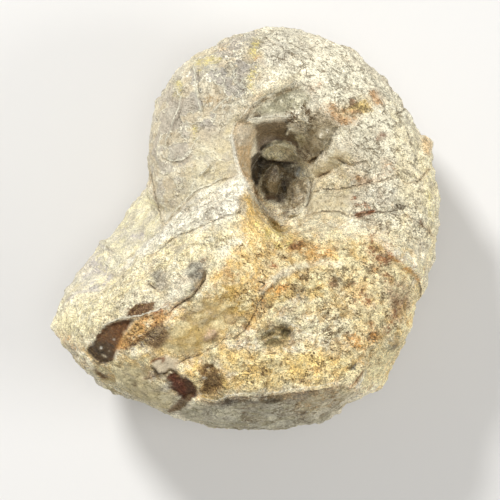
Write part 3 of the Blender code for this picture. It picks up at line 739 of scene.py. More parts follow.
# Other relief along a line: kind, height, half-width and line. A step raises the line's left side.
RELIEF = drawn(
    # The rim, the mouth and the steps by the umbilicus
    ("ridge", 0.35, 2.6, "233,128 232,138 235,150 238,165 243,178 252,193 264,207 282,224 292,228"),
    ("ridge", 0.35, 3.0, "166,230 182,215 198,199 214,191 232,183 245,182"),
    ("ridge", 0.25, 1.4, "210,164 205,169 200,174"),
    ("step", -0.3, 1.2, "165,224 180,208 190,197 197,191 211,185 224,179 238,174"),
    ("step", 0.5, 1.4, "240,122 252,104 266,91 284,85 300,81"),
    ("step", 0.65, 1.2, "242,124 254,119 268,118 284,117 298,112 306,106"),
    # The chamber wall
    ("ridge", 0.35, 3.5, "88,250 101,242 106,250"),
    ("ridge", 0.35, 4.0, "102,258 109,268 120,258"),
    ("ridge", -0.3, 4.0, "94,266 100,274"),
    ("ridge", -0.25, 3.5, "134,238 143,236"),
    ("ridge", -0.25, 4.0, "114,246 122,240"),
    # The corner, the terrace, and the creases and crests right of the umbilicus
    ("step", 0.4, 1.2, "348,390 357,380 364,370 366,360"),
    ("ridge", -0.3, 7.0, "262,104 280,99 298,99"),
    ("ridge", -0.45, 3.0, "308,163 316,157 325,149 332,139 336,128"),
    ("ridge", -0.25, 2.4, "311,180 322,174.5 334,167 345,162"),
    ("ridge", 0.35, 4.5, "316,168 328,158 342,148"),
    ("ridge", 0.35, 6.0, "314,202 330,201 346,201"),
    # The pale ridges, the ledge and the lobe
    ("ridge", 0.45, 3.2, "262,290 272,281 284,272 296,269"),
    ("ridge", 0.45, 4.0, "376,240 394,251 412,264"),
    ("step", 0.45, 1.5, "388,254 401,263 414,274 419,281"),
    ("step", 0.55, 1.3, "355,374 349,382 338,385 318,388 292,391 277,394 252,395 231,395 217,402 206,399 "
     "196,398"),
    ("ridge", 0.35, 7.0, "232,352 240,360 246,372"),
    # The olive flank and the crystals
    ("ridge", 0.18, 3.5, "186,330 205,318 232,306 250,296"),
    ("ridge", 0.14, 3.0, "190,346 208,332 230,322 243,312"),
    ("ridge", 0.15, 4.0, "210,300 232,288 252,278"),
    ("ridge", 0.3, 4.0, "298,330 310,318 326,308"),
    ("ridge", 0.35, 1.6, "104,326 110,321.5 122,318 134,317.5 147,314 158,311"),
    # Bumps, discs, lumps and hollows
    ("ridge", 0.5, 3.0, "323,133.5"),
    ("ridge", 0.5, 3.5, "207,337 214,332"),
    ("ridge", 0.22, 5.5, "246.5,66"),
    ("ridge", -0.15, 1.2, "240,70 238.5,64 243,59 250,59 254,64 253,70 247,73 240,70"),
    ("ridge", -0.5, 2.2, "351,369 358,363"),
    ("ridge", 0.4, 4.5, "387,346 397,343"),
    ("ridge", 0.45, 3.0, "424,137 428,145 426,154"),
    ("ridge", -0.35, 7.0, "268,336 286,334"),
    ("ridge", -0.25, 1.6, "284,331 287,340"),
    ("ridge", -0.3, 8.0, "300,262 318,256"),
)

# Sunk or raised plateaus: height, softness and outline
PLATEAUS = drawn(
    # The polished patch, the oval lump and the plate
    (-0.35, 1.5, POLISHED_PATCH),
    (0.35, 3, "180,290 188,270 193,262 200,261 206,268 203,280 197,291 188,298"),
    (0.25, 1.2, PLATE),
    # The red-brown patch, the gap in the crystals and the mouth band
    (-0.3, 1.8, "168,374 176,371 183,377 190,381 195,388 192,395 187,398 184,405 176,409 180,400 177,393 "
     "172,390 174,384"),
    (-0.4, 2.5, "204,366 213,364 217,374 222,380 220,388 210,392 202,391 205,382 200,375"),
    (0.2, 2.5, "165,228 181,210 196,194 212,187 238,176 247,184 246,198 240,213 215,221 190,233 170,241 "
     "152,252"),
)

# The yellower part of the stone
WARM_AREA = places_of(
    "60,360 100,330 150,312 185,300 212,262 240,225 250,205 262,215 290,232 340,222 400,240 430,262 "
    "430,330 400,400 300,392 200,402 120,385"
)

# Where the surface is smooth, glossy or full of one kind of mark: how much, softness and outline
SMOOTH_AREAS = drawn(
    (0.95, 1.5, PLATE),
    (0.75, 5, "113,372 135,364 148,372 152,384 166,386 176,396 168,410 145,404 122,390"),
    (0.4, 10, "262,24 320,28 370,60 405,100 425,150 432,200 400,200 352,150 325,110 290,80 258,55"),
    (0.65, 8, "150,185 140,150 150,110 172,72 200,45 225,60 235,90 236,125 236,150 240,175 212,187 "
     "195,196 180,212 164,228 155,205"),
    (0.5, 4, "232,128 262,104 284,100 290,118 306,136 336,118 322,150 310,165 300,150 262,140 256,190 "
     "240,178"),
    (0.7, 6, "308,190 350,188 356,200 350,215 310,214"),
    (0.6, 4, "312,180 324,155 345,142 358,150 340,164"),
    (0.65, 4, VENTER),
    (0.45, 5, "146,182 155,205 163,228 130,262 112,290 80,300 60,290 95,235 125,205"),
    (0.8, 1.5, POLISHED_CORE),
    (0.45, 2.5, PALE_RIDGE),
    (0.6, 5, "150,348 175,325 205,300 230,300 235,320 215,340 190,355 165,352"),
)
GLOSS_AREAS = drawn(
    (0.9, 2, POLISHED_CORE),
    (0.7, 4, "258,145 280,140 308,165 310,200 286,222 262,200"),
    (0.25, 2, "168,374 190,381 195,388 184,405 172,390"),
    (0.6, 3, "144,341 147,330 162,325 166,335 160,345"),
    (0.6, 3, "204,366 222,380 210,392 200,375"),
)
VEINED_AREAS = drawn(
    (1.0, 8, "172,80 200,45 258,28 266,60 262,84 240,105 220,128 196,132 188,100"),
    (0.35, 6, "262,26 310,28 300,60 266,70"),
    (0.75, 8, "150,185 140,150 150,110 172,72 196,90 200,125 192,150 188,180 178,200 164,222"),
    (0.5, 10, "190,150 235,128 240,175 211,184 180,210"),
    (0.4, 8, "176,409 225,399 292,393 343,387 330,430 250,445"),
    (0.6, 8, "60,300 95,235 150,180 165,230 120,280 90,300"),
    (0.3, 3, "256,160 290,163 310,170 310,200 286,224 262,205"),
)
CRYSTAL_AREAS = drawn(
    (1.0, 4, "126,337 124,352 150,348 166,335 168,317 150,313 133,320"),
    (0.8, 4, "186,372 200,362 216,364 226,376 230,388 212,402 200,398"),
    (0.25, 2, POLISHED_CORE),
    (0.6, 2, "126,316 131,304 142,302 158,299 154,308 136,314"),
    (0.15, 2, "169,375 182,374 197,387 186,396 171,388"),
)
WRINKLED_AREAS = drawn(
    (0.7, 4, VENTER),
    (1.0, 4, "286,110 300,104 318,112 312,130 292,134"),
    (0.85, 12, "262,24 320,28 370,60 405,100 425,150 432,200 428,250 400,250 350,215 352,186 352,150 "
     "325,110 290,80 258,55"),
    (0.7, 12, "300,235 380,240 420,285 400,350 350,385 240,390 205,360 255,310"),
    (0.5, 6, "308,186 350,184 356,215 310,222"),
    (0.5, 10, "165,90 200,60 250,45 250,95 225,130 195,145 170,140"),
    (0.6, 4, "181,210 212,190 244,182 240,210 215,221 170,241 152,252 150,240"),
    (0.5, 10, "120,275 170,245 235,225 215,265 180,290 130,330 70,345 60,315"),
    (0.6, 8, "100,366 150,372 180,400 168,412 130,400"),
)
SPECKLED_AREAS = drawn(
    (0.35, 8, "328,95 350,88 382,98 388,125 360,132 335,125"),
    (0.8, 8, "262,240 288,234 305,240 300,254 275,258"),
    (0.55, 6, "340,275 362,272 382,290 378,312 350,308"),
    (0.5, 6, "362,240 380,238 396,256 396,285 376,280 364,262"),
    (0.7, 6, "312,328 345,322 356,340 340,352 316,350"),
    (0.8, 6, "288,272 312,268 308,300 290,304"),
    (0.8, 5, "300,354 330,350 345,360 325,368 304,364"),
    (0.5, 4, "235,399 292,393 343,387 335,410 300,425 240,425"),
    (0.9, 3, "286,110 300,104 316,112 308,130 290,134"),
    (0.5, 12, "318,262 345,240 390,262 415,300 400,352 352,378 300,368 282,350 300,320 298,285"),
    (0.35, 12, "356,186 400,184 420,205 400,240 360,230 352,205"),
    (0.15, 12, "350,120 372,130 392,160 404,180 356,186 345,150"),
    (0.6, 12, "235,240 290,235 310,290 260,330 225,300"),
    (0.3, 10, "120,280 170,245 235,220 235,250 190,262 150,300 80,340 55,320"),
    (0.8, 3, "203,205 216,203 217,213 204,214"),
    (0.6, 8, "215,380 300,350 345,345 350,375 290,388 230,392"),
)

# Relief of the inner whorl: height, half-width and line, and then height, softness and outline
PIT_LINES = drawn(
    (-0.7, 1.2, "262,160 268,161 280,161 290,164 297,167"),
    (0.3, 0.9, "271,177 270,171 273,167 277,167 279.5,171 278.5,177"),
    (-0.5, 1.3, "265.5,189 267,193"),
    (-0.5, 1.4, "283,180 285.5,190"),
    (-0.4, 1.2, "290,184 293,191 292,199"),
    (-0.4, 1.0, "298,180 301,188 306,192"),
    (-0.5, 1.6, "264,200 274,199.5 284,200"),
    (0.35, 1.0, "303,167 307,175 309,187 306,200"),
    (0.25, 0.9, "283,220 291,214.5 299,211"),
    (-0.3, 1.0, "281,215 290,210 299,205"),
)
PIT_AREAS = drawn(
    (1.6, 3.0, "261,156 262,147 270,143 282,142 290,147 293,159 280,160 268,158"),
    (0.5, 2.5, WHORL_STREAK),
    (0.5, 1.5, BLUE_SIDE),
    (0.4, 1.5, "288,184 297,178 307,180 308.5,190 306,199 296,204 286,203"),
)


# ---------------------------------------------------------------- sculpting


def camera_side(normals, points):
    """1 where the stone faces the camera, falling to 0 just round its edge."""
    to_camera = CAMERA_PLACE - points
    to_camera /= np.linalg.norm(to_camera, axis=1)[:, None]
    return smooth_step(((normals * to_camera).sum(axis=1) + 0.05) / 0.2)


def ragged(points, seen, size, amount):
    """The picture places, shaken a little so that a mark's edge isn't a clean curve."""
    return seen + amount * np.column_stack((noise_at(points, size, 2), noise_at(points, size, 2, 31.7)))


def largest_of(seen, rows):
    """How much of one kind of surface each place has, from the outlines of that kind."""
    mask = np.zeros(len(seen))
    for amount, soft, corners in rows:
        mask = np.maximum(mask, amount * area_mask(seen, corners, soft))
    return mask


def pit_share(xy):
    """How far out from the middle of the pit to its edge each point lies, as a share."""
    off = xy - PIT_CENTRE
    across = (off[:, 0] * math.sin(PIT_BEARING) - off[:, 1] * math.cos(PIT_BEARING)) / PIT_RADII[1]
    along = (off[:, 0] * math.cos(PIT_BEARING) + off[:, 1] * math.sin(PIT_BEARING)) / PIT_RADII[0]
    return np.hypot(along, across)


def line_marks(seen, facing, rows):
    """Signed distance to the nearest of some lines, in millimetres, and how strongly it shows there."""
    nearest = np.full(len(seen), 9.0)
    strength = np.zeros(len(seen))
    for amount, line in rows:
        index = np.flatnonzero(near(seen, line, 8))
        distance, share, side = line_distance(seen[index], line)
        closer = distance < np.abs(nearest[index])
        index, distance, share, side = index[closer], distance[closer], share[closer], side[closer]
        nearest[index] = distance * side
        ends = smooth_step(np.minimum(share, 1 - share) / 0.06)
        strength[index] = amount * ends * smooth_step((4.5 - distance) / 2)
    return nearest / PIXELS_PER_MM, strength * facing


def line_relief(seen, facing):
    """How far the cracks, the ridges, the steps and the plateaus move each point out."""
    move = np.zeros(len(seen))
    for depth, half_width, line in CRACKS:
        close = near(seen, line, 4 * half_width)
        distance, share, _ = line_distance(seen[close], line)
        fade = smooth_step(np.minimum(share, 1 - share) / 0.12) * 0.8 + 0.2
        move[close] -= depth * np.exp(-distance / half_width) * fade
    for kind, height, half_width, line in RELIEF:
        reach = STEP_REACH if kind == "step" else 3 * half_width
        close = near(seen, line, reach)
        distance, share, side = line_distance(seen[close], line)
        if kind == "step":
            shape = smooth_step(side * distance / half_width * 0.5 + 0.5) * smooth_step(1 - distance / reach)
            shape *= smooth_step(np.minimum(share, 1 - share) / 0.15)
        else:
            shape = np.exp(-((distance / half_width) ** 2))
        move[close] += RELIEF_GAIN * height * shape
    for height, soft, corners in PLATEAUS:
        move += height * area_mask(seen, corners, soft)
    return move * facing


def stretched(points, along, size, narrow):
    """Places for a noise that runs out along a direction: size along it, narrow across it."""
    along = np.array(along) / np.linalg.norm(along)
    run = points @ along
    return (points - run[:, None] * along) / narrow + run[:, None] * along / size


def warped(points, size, amount):
    """Points pushed about by noise of this size, so that what is laid over them has no regular shape."""
    pushed = [noise_at(points, size, 1, shift) for shift in (0.0, 17.3, 41.9)]
    return points + amount * np.column_stack(pushed)


def billows(points, size, octaves):
    """Rounded swellings with sharp creases between them, 0 in a crease to about 1."""
    places = (points / size).tolist()
    return np.array([noise.turbulence(Vector(place), octaves, True) for place in places])


def surface_relief(points, smooth, grainy):
    """The stone's own texture: swellings with creases between them, slanting ridges, grain and pits."""
    rough = 1 - smooth
    loose = warped(points, 2.8, 0.9)
    broad = 0.46 * noise_at(loose, 3.6, 2)
    creased = 0.52 * (billows(loose, 1.9, 3) - 0.5)
    ridges = 0.14 * noise_at(stretched(points, RIDGE_RUN, 3.4, 1.2), 1.0, 2, 11.3)
    grain = 0.07 * noise_at(points, 0.7, 2, 5.1)
    pits = -0.14 * smooth_step((0.45 - cells_at(loose, 0.85)) / 0.3) * grainy
    return broad * (0.35 + 0.65 * rough) + (creased + ridges + pits) * (0.12 + 0.88 * rough) + grain


def sculpt_pit(points, normals):
    """The inner whorl at the bottom of the umbilicus: its cap, its coil and the steps between its turns."""
    floor = (pit_share(points[:, :2]) < 1.0) & (points[:, 2] < PIT_FLOOR_TOP) & (normals[:, 2] > 0.1)
    seen = in_picture(points)
    move = np.zeros(len(points))
    for height, half_width, line in PIT_LINES:
        move += height * line_mask(seen, line, half_width)
    for height, soft, corners in PIT_AREAS:
        move += height * area_mask(seen, corners, soft)
    points[floor, 2] += move[floor]
    return points


def make_stone():
    """The frame's solid with an even mesh, in millimetres, finer where it faces the camera."""
    stone = bpy.data.objects.new("stone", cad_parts[NODE].data.copy())
    bpy.context.scene.collection.objects.link(stone)
    stone.data.transform(Matrix.Scale(MM, 4))
    remesh(stone, COARSE_VOXEL)
    mesh = stone.data
    write_points(mesh, blurred(read_points(mesh), edges_of(mesh), COARSE_ROUNDS, SMOOTHING))
    split_upper_faces(mesh)
    write_points(mesh, blurred(read_points(mesh), edges_of(mesh), FINE_ROUNDS, SMOOTHING))
    return stone


def keep_in_box(points, low, high):
    """Fills the solid's box exactly, and keeps the resting flat on the ground."""
    size = (high - low) / (points.max(axis=0) - points.min(axis=0))
    points = (points - points.min(axis=0)) * size + low
    points[points[:, 2] < FLAT_KEEP, 2] = 0
    return points


# ---------------------------------------------------------------- colour


def linear(colour):
    """A palette colour's linear red, green and blue."""
    shares = np.array(PALETTE[colour]) / 255
    return ((shares + 0.055) / 1.055) ** 2.4


def lay(tint, colour, mask):
    """Lays a colour over the tint, as strongly as the mask says."""
    tint += ((linear(colour) if isinstance(colour, str) else colour) - tint) * mask[:, None]


def paint_hidden(points):
    """The weathering that goes all the way round: cream stone with ochre, grey and rust in it."""
    tint = np.tile(linear("cream"), (len(points), 1))
    lay(tint, "ochre", 0.8 * smooth_step((noise_at(points, 9.0, 3, 2.2) + 0.05) / 0.5))
    lay(tint, "green grey", 0.7 * smooth_step((noise_at(points, 7.0, 3, 8.8) - 0.02) / 0.4))
    lay(tint, "taupe", 0.6 * smooth_step((noise_at(points, 6.0, 2, 17.0) - 0.12) / 0.3))
    lay(tint, "rust", 0.6 * smooth_step((noise_at(points, 2.6, 3, 23.0) - 0.36) / 0.2))
    return tint


def paint(points, facing, cavity):
    """Each point's colour with painted relief shade and highlight, the stain and shade over it with its
    share, and its warmth.
    """
    seen = in_picture(points)
    wide = ragged(points, seen, *ZONE_SHAKE)
    rough_edge = ragged(points, seen, *PATCH_SHAKE)
    loose = warped(points, 1.6, 0.8)
    mottle = noise_at(loose, 2.4, 4, 41.0)
    blotch = noise_at(loose, 1.5, 3, 77.0)
    speck = noise_at(loose, 0.8, 3, 19.0)
    smooth = largest_of(seen, SMOOTH_AREAS)
    warm = area_mask(wide, WARM_AREA, 14)
    # The pale crust colour, which also paints highlight on the relief's swellings, and the colour of painted
    # shade in its hollows
    light = linear("pale cream") + (linear("warm pale") - linear("pale cream")) * warm[:, None]
    hollow_shade_and_stain = linear("taupe") * 0.75
    hollow_shade_and_stain = hollow_shade_and_stain + (linear("stain") - hollow_shade_and_stain) * (0.15 + 0.85 * warm[:, None])

    hidden = paint_hidden(points)
    tint = np.tile(linear("cream"), (len(points), 1))
    for colour, strength, soft, corners in ZONES:
        mask = area_mask(wide, corners, soft)
        patchy = smooth_step(1.5 * mask - 0.25 + 0.45 * (0.6 * blotch + speck) * (mask < 0.999))
        lay(tint, colour, strength * (0.45 * mask + 0.55 * patchy))
    rough = 1 - smooth
    lay(tint, "taupe", 0.35 * smooth_step((mottle - 0.10) / 0.25))
    lay(tint, "ochre", 0.35 * rough * (0.2 + 0.8 * warm) * smooth_step((blotch - 0.08) / 0.22))
    lay(tint, light, 0.4 * smooth_step((-mottle - 0.05) / 0.3))
    for colour, strength, soft, corners in PATCHES:
        lay(tint, colour, strength * area_mask(rough_edge, corners, soft))
    # A second layer for the wide strokes: stains, and painted shade in the funnel, the hollow and under the
    # ledge
    stain = tint.copy()
    stain_and_shade_share = np.zeros(len(points))
    for colour, strength, half_width, line in STROKES:
        if half_width > 2:
            mask = line_mask(rough_edge, line, half_width * 1.3)
            lay(stain, colour, smooth_step(mask / 0.12))
            stain_and_shade_share = np.maximum(stain_and_shade_share * (1 - mask), strength * mask)
        else:
            lay(tint, colour, min(1.0, 1.2 * strength) * line_mask(seen, line, half_width))
    for depth, half_width, line in CRACKS:
        lay(tint, "stain", min(0.5, 1.5 * depth) * line_mask(rough_edge, line, half_width * 1.5))
    tint = hidden + (tint - hidden) * facing[:, None]
    # Painted shade in the relief's hollows and painted highlight on its swellings, weaker on smooth stone
    # and on dark colours
    calm = 1 - 0.6 * smooth * facing
    clean = smooth_step((tint.mean(axis=1) - 0.08) / 0.35)
    lay(tint, hollow_shade_and_stain, 0.55 * smooth_step(-cavity / 0.12 - 0.2) * calm * clean)
    lay(tint, light, 0.45 * smooth_step(cavity / 0.12 - 0.2) * calm * clean)
    return tint, stain, stain_and_shade_share * facing, HIDDEN_WARMTH + (warm - HIDDEN_WARMTH) * facing


def store(mesh, name, values, kind="FLOAT"):
    """Keeps one value, or one colour, for each of the mesh's points."""
    attribute = mesh.attributes.new(name, kind, "POINT")
    if kind == "FLOAT":
        attribute.data.foreach_set("value", values.astype(np.float32))
    else:
        full = np.column_stack((values, np.ones(len(values))))
        attribute.data.foreach_set("color", full.astype(np.float32).ravel())


# ---------------------------------------------------------------- material


class Shade:
    """Small helpers that add nodes to one material's tree. Sizes are millimetres."""

    def __init__(self, tree):
        self.nodes = tree.nodes
        self.links = tree.links
        coordinates = self.nodes.new("ShaderNodeTexCoord")
        self.place = coordinates.outputs["Object"]

    def put(self, socket, value):
        if isinstance(value, bpy.types.NodeSocket):
            self.links.new(value, socket)
        else:
            socket.default_value = value

    def node(self, kind, **inputs):
        node = self.nodes.new(kind)
        for name, value in inputs.items():
            self.put(node.inputs[name.replace("_", " ")], value)
        return node

    def attribute(self, name, output="Fac"):
        node = self.nodes.new("ShaderNodeAttribute")
        node.attribute_name = name
        return node.outputs[output]

    def noise(self, size, detail=2, roughness=0.6, place=None, distortion=0.0):
        vector = self.place if place is None else place
        node = self.node("ShaderNodeTexNoise", Vector=vector, Scale=MM / size, Detail=detail,
                         Roughness=roughness, Distortion=distortion)
        return node.outputs["Fac"]

    def cell_edges(self, size, place):
        node = self.nodes.new("ShaderNodeTexVoronoi")
        node.feature = "DISTANCE_TO_EDGE"
        self.put(node.inputs["Vector"], place)
        self.put(node.inputs["Scale"], MM / size)
        return node.outputs["Distance"]

    def plates(self, size, place):
        """A random number for each irregular plate of about this size."""
        node = self.node("ShaderNodeTexVoronoi", Vector=place, Scale=MM / size)
        return self.node("ShaderNodeSeparateColor", Color=node.outputs["Color"]).outputs["Red"]

    def ramp(self, value, low, high, out_low=0.0, out_high=1.0):
        node = self.node("ShaderNodeMapRange", Value=value, From_Min=low, From_Max=high,
                         To_Min=out_low, To_Max=out_high)
        node.interpolation_type = "SMOOTHSTEP"
        return node.outputs["Result"]

    def maths(self, operation, first, second=0.0):
        node = self.nodes.new("ShaderNodeMath")
        node.operation = operation
        self.put(node.inputs[0], first)
        self.put(node.inputs[1], second)
        return node.outputs[0]

    def times(self, *values):
        product = values[0]
        for value in values[1:]:
            product = self.maths("MULTIPLY", product, value)
        return product

    def plus(self, *values):
        total = values[0]
        for value in values[1:]:
            total = self.maths("ADD", total, value)
        return total

    def minus(self, first, second):
        return self.maths("SUBTRACT", first, second)

    def largest(self, first, second):
        return self.maths("MAXIMUM", first, second)

    def band(self, value, middle, half_width):
        """1 where the value crosses the middle, falling to 0 at half_width from it."""
        off = self.maths("ABSOLUTE", self.minus(value, middle))
        return self.ramp(off, half_width, half_width * 0.3)

    def mix(self, share, first, second, blend="MIX"):
        node = self.nodes.new("ShaderNodeMix")
        node.data_type = "RGBA"
        node.blend_type = blend
        for index, value in ((0, share), (6, first), (7, second)):
            self.put(node.inputs[index], value)
        return node.outputs[2]

    def grey(self, value):
        node = self.nodes.new("ShaderNodeCombineColor")
        for socket in node.inputs:
            self.put(socket, value)
        return node.outputs[0]

    def shaken(self, size, amount):
        """Places moved about by noise of this size, so that cells and lines aren't regular."""
        noise = self.node("ShaderNodeTexNoise", Vector=self.place, Scale=MM / size, Detail=2.0)
        centred = self.vector("SUBTRACT", noise.outputs["Color"], (0.5, 0.5, 0.5))
        return self.vector("MULTIPLY_ADD", centred, (amount / MM,) * 3, self.place)

    def vector(self, operation, *values):
        node = self.nodes.new("ShaderNodeVectorMath")
        node.operation = operation
        for socket, value in zip(node.inputs, values):
            self.put(socket, value)
        return node.outputs[0]

    def slanted(self, stretch):
        """Places turned about z and squeezed, so that noise runs out along the wrinkles' bearing."""
        node = self.node("ShaderNodeMapping", Vector=self.place, Rotation=(0.0, 0.0, -WRINKLE_TURN),
                         Scale=(1 / stretch, 1.0, 1.0))
        return node.outputs["Vector"]


def rgba(name):
    """A palette colour as a shader socket takes it."""
    return (*linear(name), 1)


def stone_material():
    """Painted colours, broken up by grain, crust, wrinkles, pores, veins and cracks, with a fine bump."""
    material = bpy.data.materials.new("weathered_limestone")
    material.use_nodes = True
    shader = material.node_tree.nodes["Principled BSDF"]
    shade = Shade(material.node_tree)
    times = shade.times
    plus = shade.plus
    minus = shade.minus
    largest = shade.largest
    ramp = shade.ramp
    band = shade.band
    mix = shade.mix
    tint = shade.attribute("tint", "Color")
    kinds = ("smooth", "gloss", "warm", "speckled", "veined", "wrinkled", "crystals")
    smooth, gloss, warm, speckled, veined, wrinkled, crystals = map(shade.attribute, kinds)
    rough = minus(1.0, smooth)
    pale = ramp(shade.node("ShaderNodeRGBToBW", Color=tint).outputs["Val"], 0.12, 0.40)

    fine = shade.noise(0.19, 1, 0.6)
    grain = shade.noise(0.48, 2, 0.55, distortion=0.8)
    crust = shade.noise(1.0, 3, 0.6, distortion=0.5)
    clusters = shade.noise(2.6, 3, 0.6)
    crowd = ramp(clusters, 0.42, 0.60)
    knots = ramp(shade.noise(1.3, 3, 0.6), 0.40, 0.62)
    shaken = shade.shaken(1.1, 0.7)

    # Patches of pale crust, ochre and grey, with ragged edges
    cool = minus(1.0, warm)
    fretted = shade.noise(2.2, 6, 0.64, shade.shaken(2.4, 0.9))
    other = shade.noise(3.1, 6, 0.64, shade.shaken(3.0, 1.2))
    light = mix(warm, rgba("pale cream"), rgba("warm pale"))
    colour = mix(times(ramp(fretted, 0.48, 0.43), rough, pale, 0.5), tint, light)
    ochre = times(ramp(fretted, 0.53, 0.57), rough, warm, pale, 0.42)
    colour = mix(ochre, colour, rgba("ochre"))
    taupe = times(ramp(other, 0.53, 0.58), rough, cool, pale, 0.45)
    colour = mix(taupe, colour, rgba("taupe"))
    # Stain, with painted shade, in the lows of the crust, which the bump also sinks
    hollow_shade_and_stain = times(ramp(crust, 0.46, 0.36), rough, pale, plus(times(warm, 0.22), 0.15))
    colour = mix(hollow_shade_and_stain, colour, rgba("stain"))

    # Grey hollows with pale veins round them
    webbed = shade.noise(2.3, 3, 0.5, shaken)
    colour = mix(times(ramp(webbed, 0.50, 0.53), veined, 0.65), colour, rgba("hollow grey"))
    thin_vein = times(band(shade.noise(1.2, 2, 0.5, shaken), 0.52, 0.035), crowd)
    veins = largest(band(webbed, 0.50, 0.028), times(thin_vein, 0.8))
    veins = times(veins, ramp(shade.noise(1.9, 2), 0.40, 0.52, 0.2, 1.0), veined)
    colour = mix(times(veins, 0.9), colour, rgba("bright"))

    # Stains and the painted shade laid with them, broken into small spots where they are weak
    grit = shade.noise(0.22, 3, 0.65, shade.slanted(1.5), 0.5)
    share = shade.attribute("stain_and_shade_share")
    spotted = plus(times(grit, 3.0), times(knots, 0.6), times(share, 1.2), STAIN_THRESHOLD)
    spotted = times(ramp(spotted, 0.36, 0.54), ramp(share, 0.05, 0.2))
    stain_and_shade_amount = plus(times(share, 0.33), times(spotted, 0.58))
    colour = mix(stain_and_shade_amount, colour, shade.attribute("stain", "Color"))

    # Light and shade of the grain
    chips = shade.plates(0.34, shade.shaken(0.5, 0.4))
    clouds = ramp(shade.noise(4.5, 3), 0.36, 0.64, 0.93, 1.07)
    clouds = times(clouds, ramp(shade.noise(1.8, 4, 0.6, shade.slanted(1.7)), 0.38, 0.62, 0.92, 1.09))
    contrast = times(clouds, ramp(fine, 0.25, 0.75, 0.64, 1.44), ramp(grain, 0.30, 0.70, 0.84, 1.18),
                     ramp(chips, 0.0, 1.0, 0.90, 1.12))
    calmed = times(minus(contrast, 1.0), ramp(smooth, 0.0, 1.0, 1.0, 0.3))
    colour = mix(1.0, colour, shade.grey(plus(calmed, 1.0)), "MULTIPLY")

    # Flecks: small sharp dark holes, few on the clean stone and crowded where it is speckled
    density = plus(times(speckled, crowd, 0.75), times(speckled, knots, 0.25),
                   times(wrinkled, knots, 0.08), times(rough, 0.10))
    below = minus(ramp(density, 0.0, 1.0, 0.32, 0.47), grit)
    flecks = ramp(below, -0.03, 0.05)
    crowded = ramp(density, 0.1, 0.8)
    halo = times(ramp(below, -0.12, 0.0), crowded, pale)
    colour = mix(times(halo, 0.4), colour, rgba("stain"))
    tone = mix(crowded, *FLECK_TONES)
    colour = mix(times(flecks, 0.9), colour, mix(1.0, colour, tone, "MULTIPLY"))

    # Wrinkles: short dark dashes along a slant, and crackle
    slanted = shade.slanted(1.9)
    long_dashes = band(shade.noise(1.0, 3, 0.6, slanted, 0.6), 0.5, 0.026)
    long_dashes = times(long_dashes, ramp(shade.noise(1.3, 2), 0.48, 0.56))
    short_dashes = band(shade.noise(0.55, 2, 0.6, slanted, 0.8), 0.5, 0.04)
    short_dashes = times(short_dashes, ramp(shade.noise(0.7, 2), 0.50, 0.58))
    dashes = largest(long_dashes, times(short_dashes, 0.7))
    crackle = ramp(shade.cell_edges(1.3, shaken), 0.05, 0.012)
    crackle = times(crackle, ramp(clusters, 0.54, 0.62))
    wrinkles = times(largest(dashes, crackle), wrinkled)
    colour = mix(times(wrinkles, 0.8), colour, rgba("wrinkle"))

    # Crystals: painted glints, bright yellow spots that stand in for sparkle, and dark gaps
    glints = times(ramp(fine, 0.60, 0.70), crystals)
    colour = mix(times(ramp(grain, 0.50, 0.38), crystals, 0.7), colour, rgba("dark brown"))
    colour = mix(times(glints, 0.6), colour, rgba("yellow"))

    # Lines follow the mesh's own distance to the nearest one, and vary in width
    wiggle = times(minus(grain, 0.5), LINE_WIGGLE)
    broken = ramp(shade.noise(1.7, 3, 0.6), 0.40, 0.54, 0.35, 1.0)

    def line(name, narrowest, widest):
        width = ramp(crust, 0.35, 0.65, LINE_HALF_WIDTH * narrowest, LINE_HALF_WIDTH * widest)
        off = shade.maths("ABSOLUTE", plus(shade.attribute(name + "_distance"), wiggle))
        across = ramp(shade.maths("DIVIDE", off, width), 1.0, 0.3)
        return times(across, shade.attribute(name + "_strength"))

    # Pale lines: veins, and painted highlights along the edges of the steps and the ledge
    pale_line = line("pale_line", 0.7, 1.4)
    colour = mix(times(pale_line, 0.9), colour, rgba("bright"))
    crack = times(line("crack", 0.3, 1.3), broken)
    colour = mix(times(crack, 0.75), colour, rgba("speck"))
    shade.links.new(colour, shader.inputs["Base Color"])

    roughness = minus(ROUGHNESS, times(gloss, 0.5))
    shade.links.new(roughness, shader.inputs["Roughness"])
    shader.inputs["Specular IOR Level"].default_value = SPECULAR

    height = times(plus(times(grain, 0.6), times(fine, 0.25)), ramp(smooth, 0.0, 1.0, 1.0, 0.2))
    height = plus(height, times(flecks, -0.6), times(wrinkles, -0.5), times(crack, -0.7),
                  times(veins, 0.45), times(crust, 0.8), times(pale_line, 0.5))
    bump = shade.node("ShaderNodeBump", Strength=0.9, Distance=BUMP_DEPTH, Height=height)
    shade.links.new(bump.outputs["Normal"], shader.inputs["Normal"])
    return material


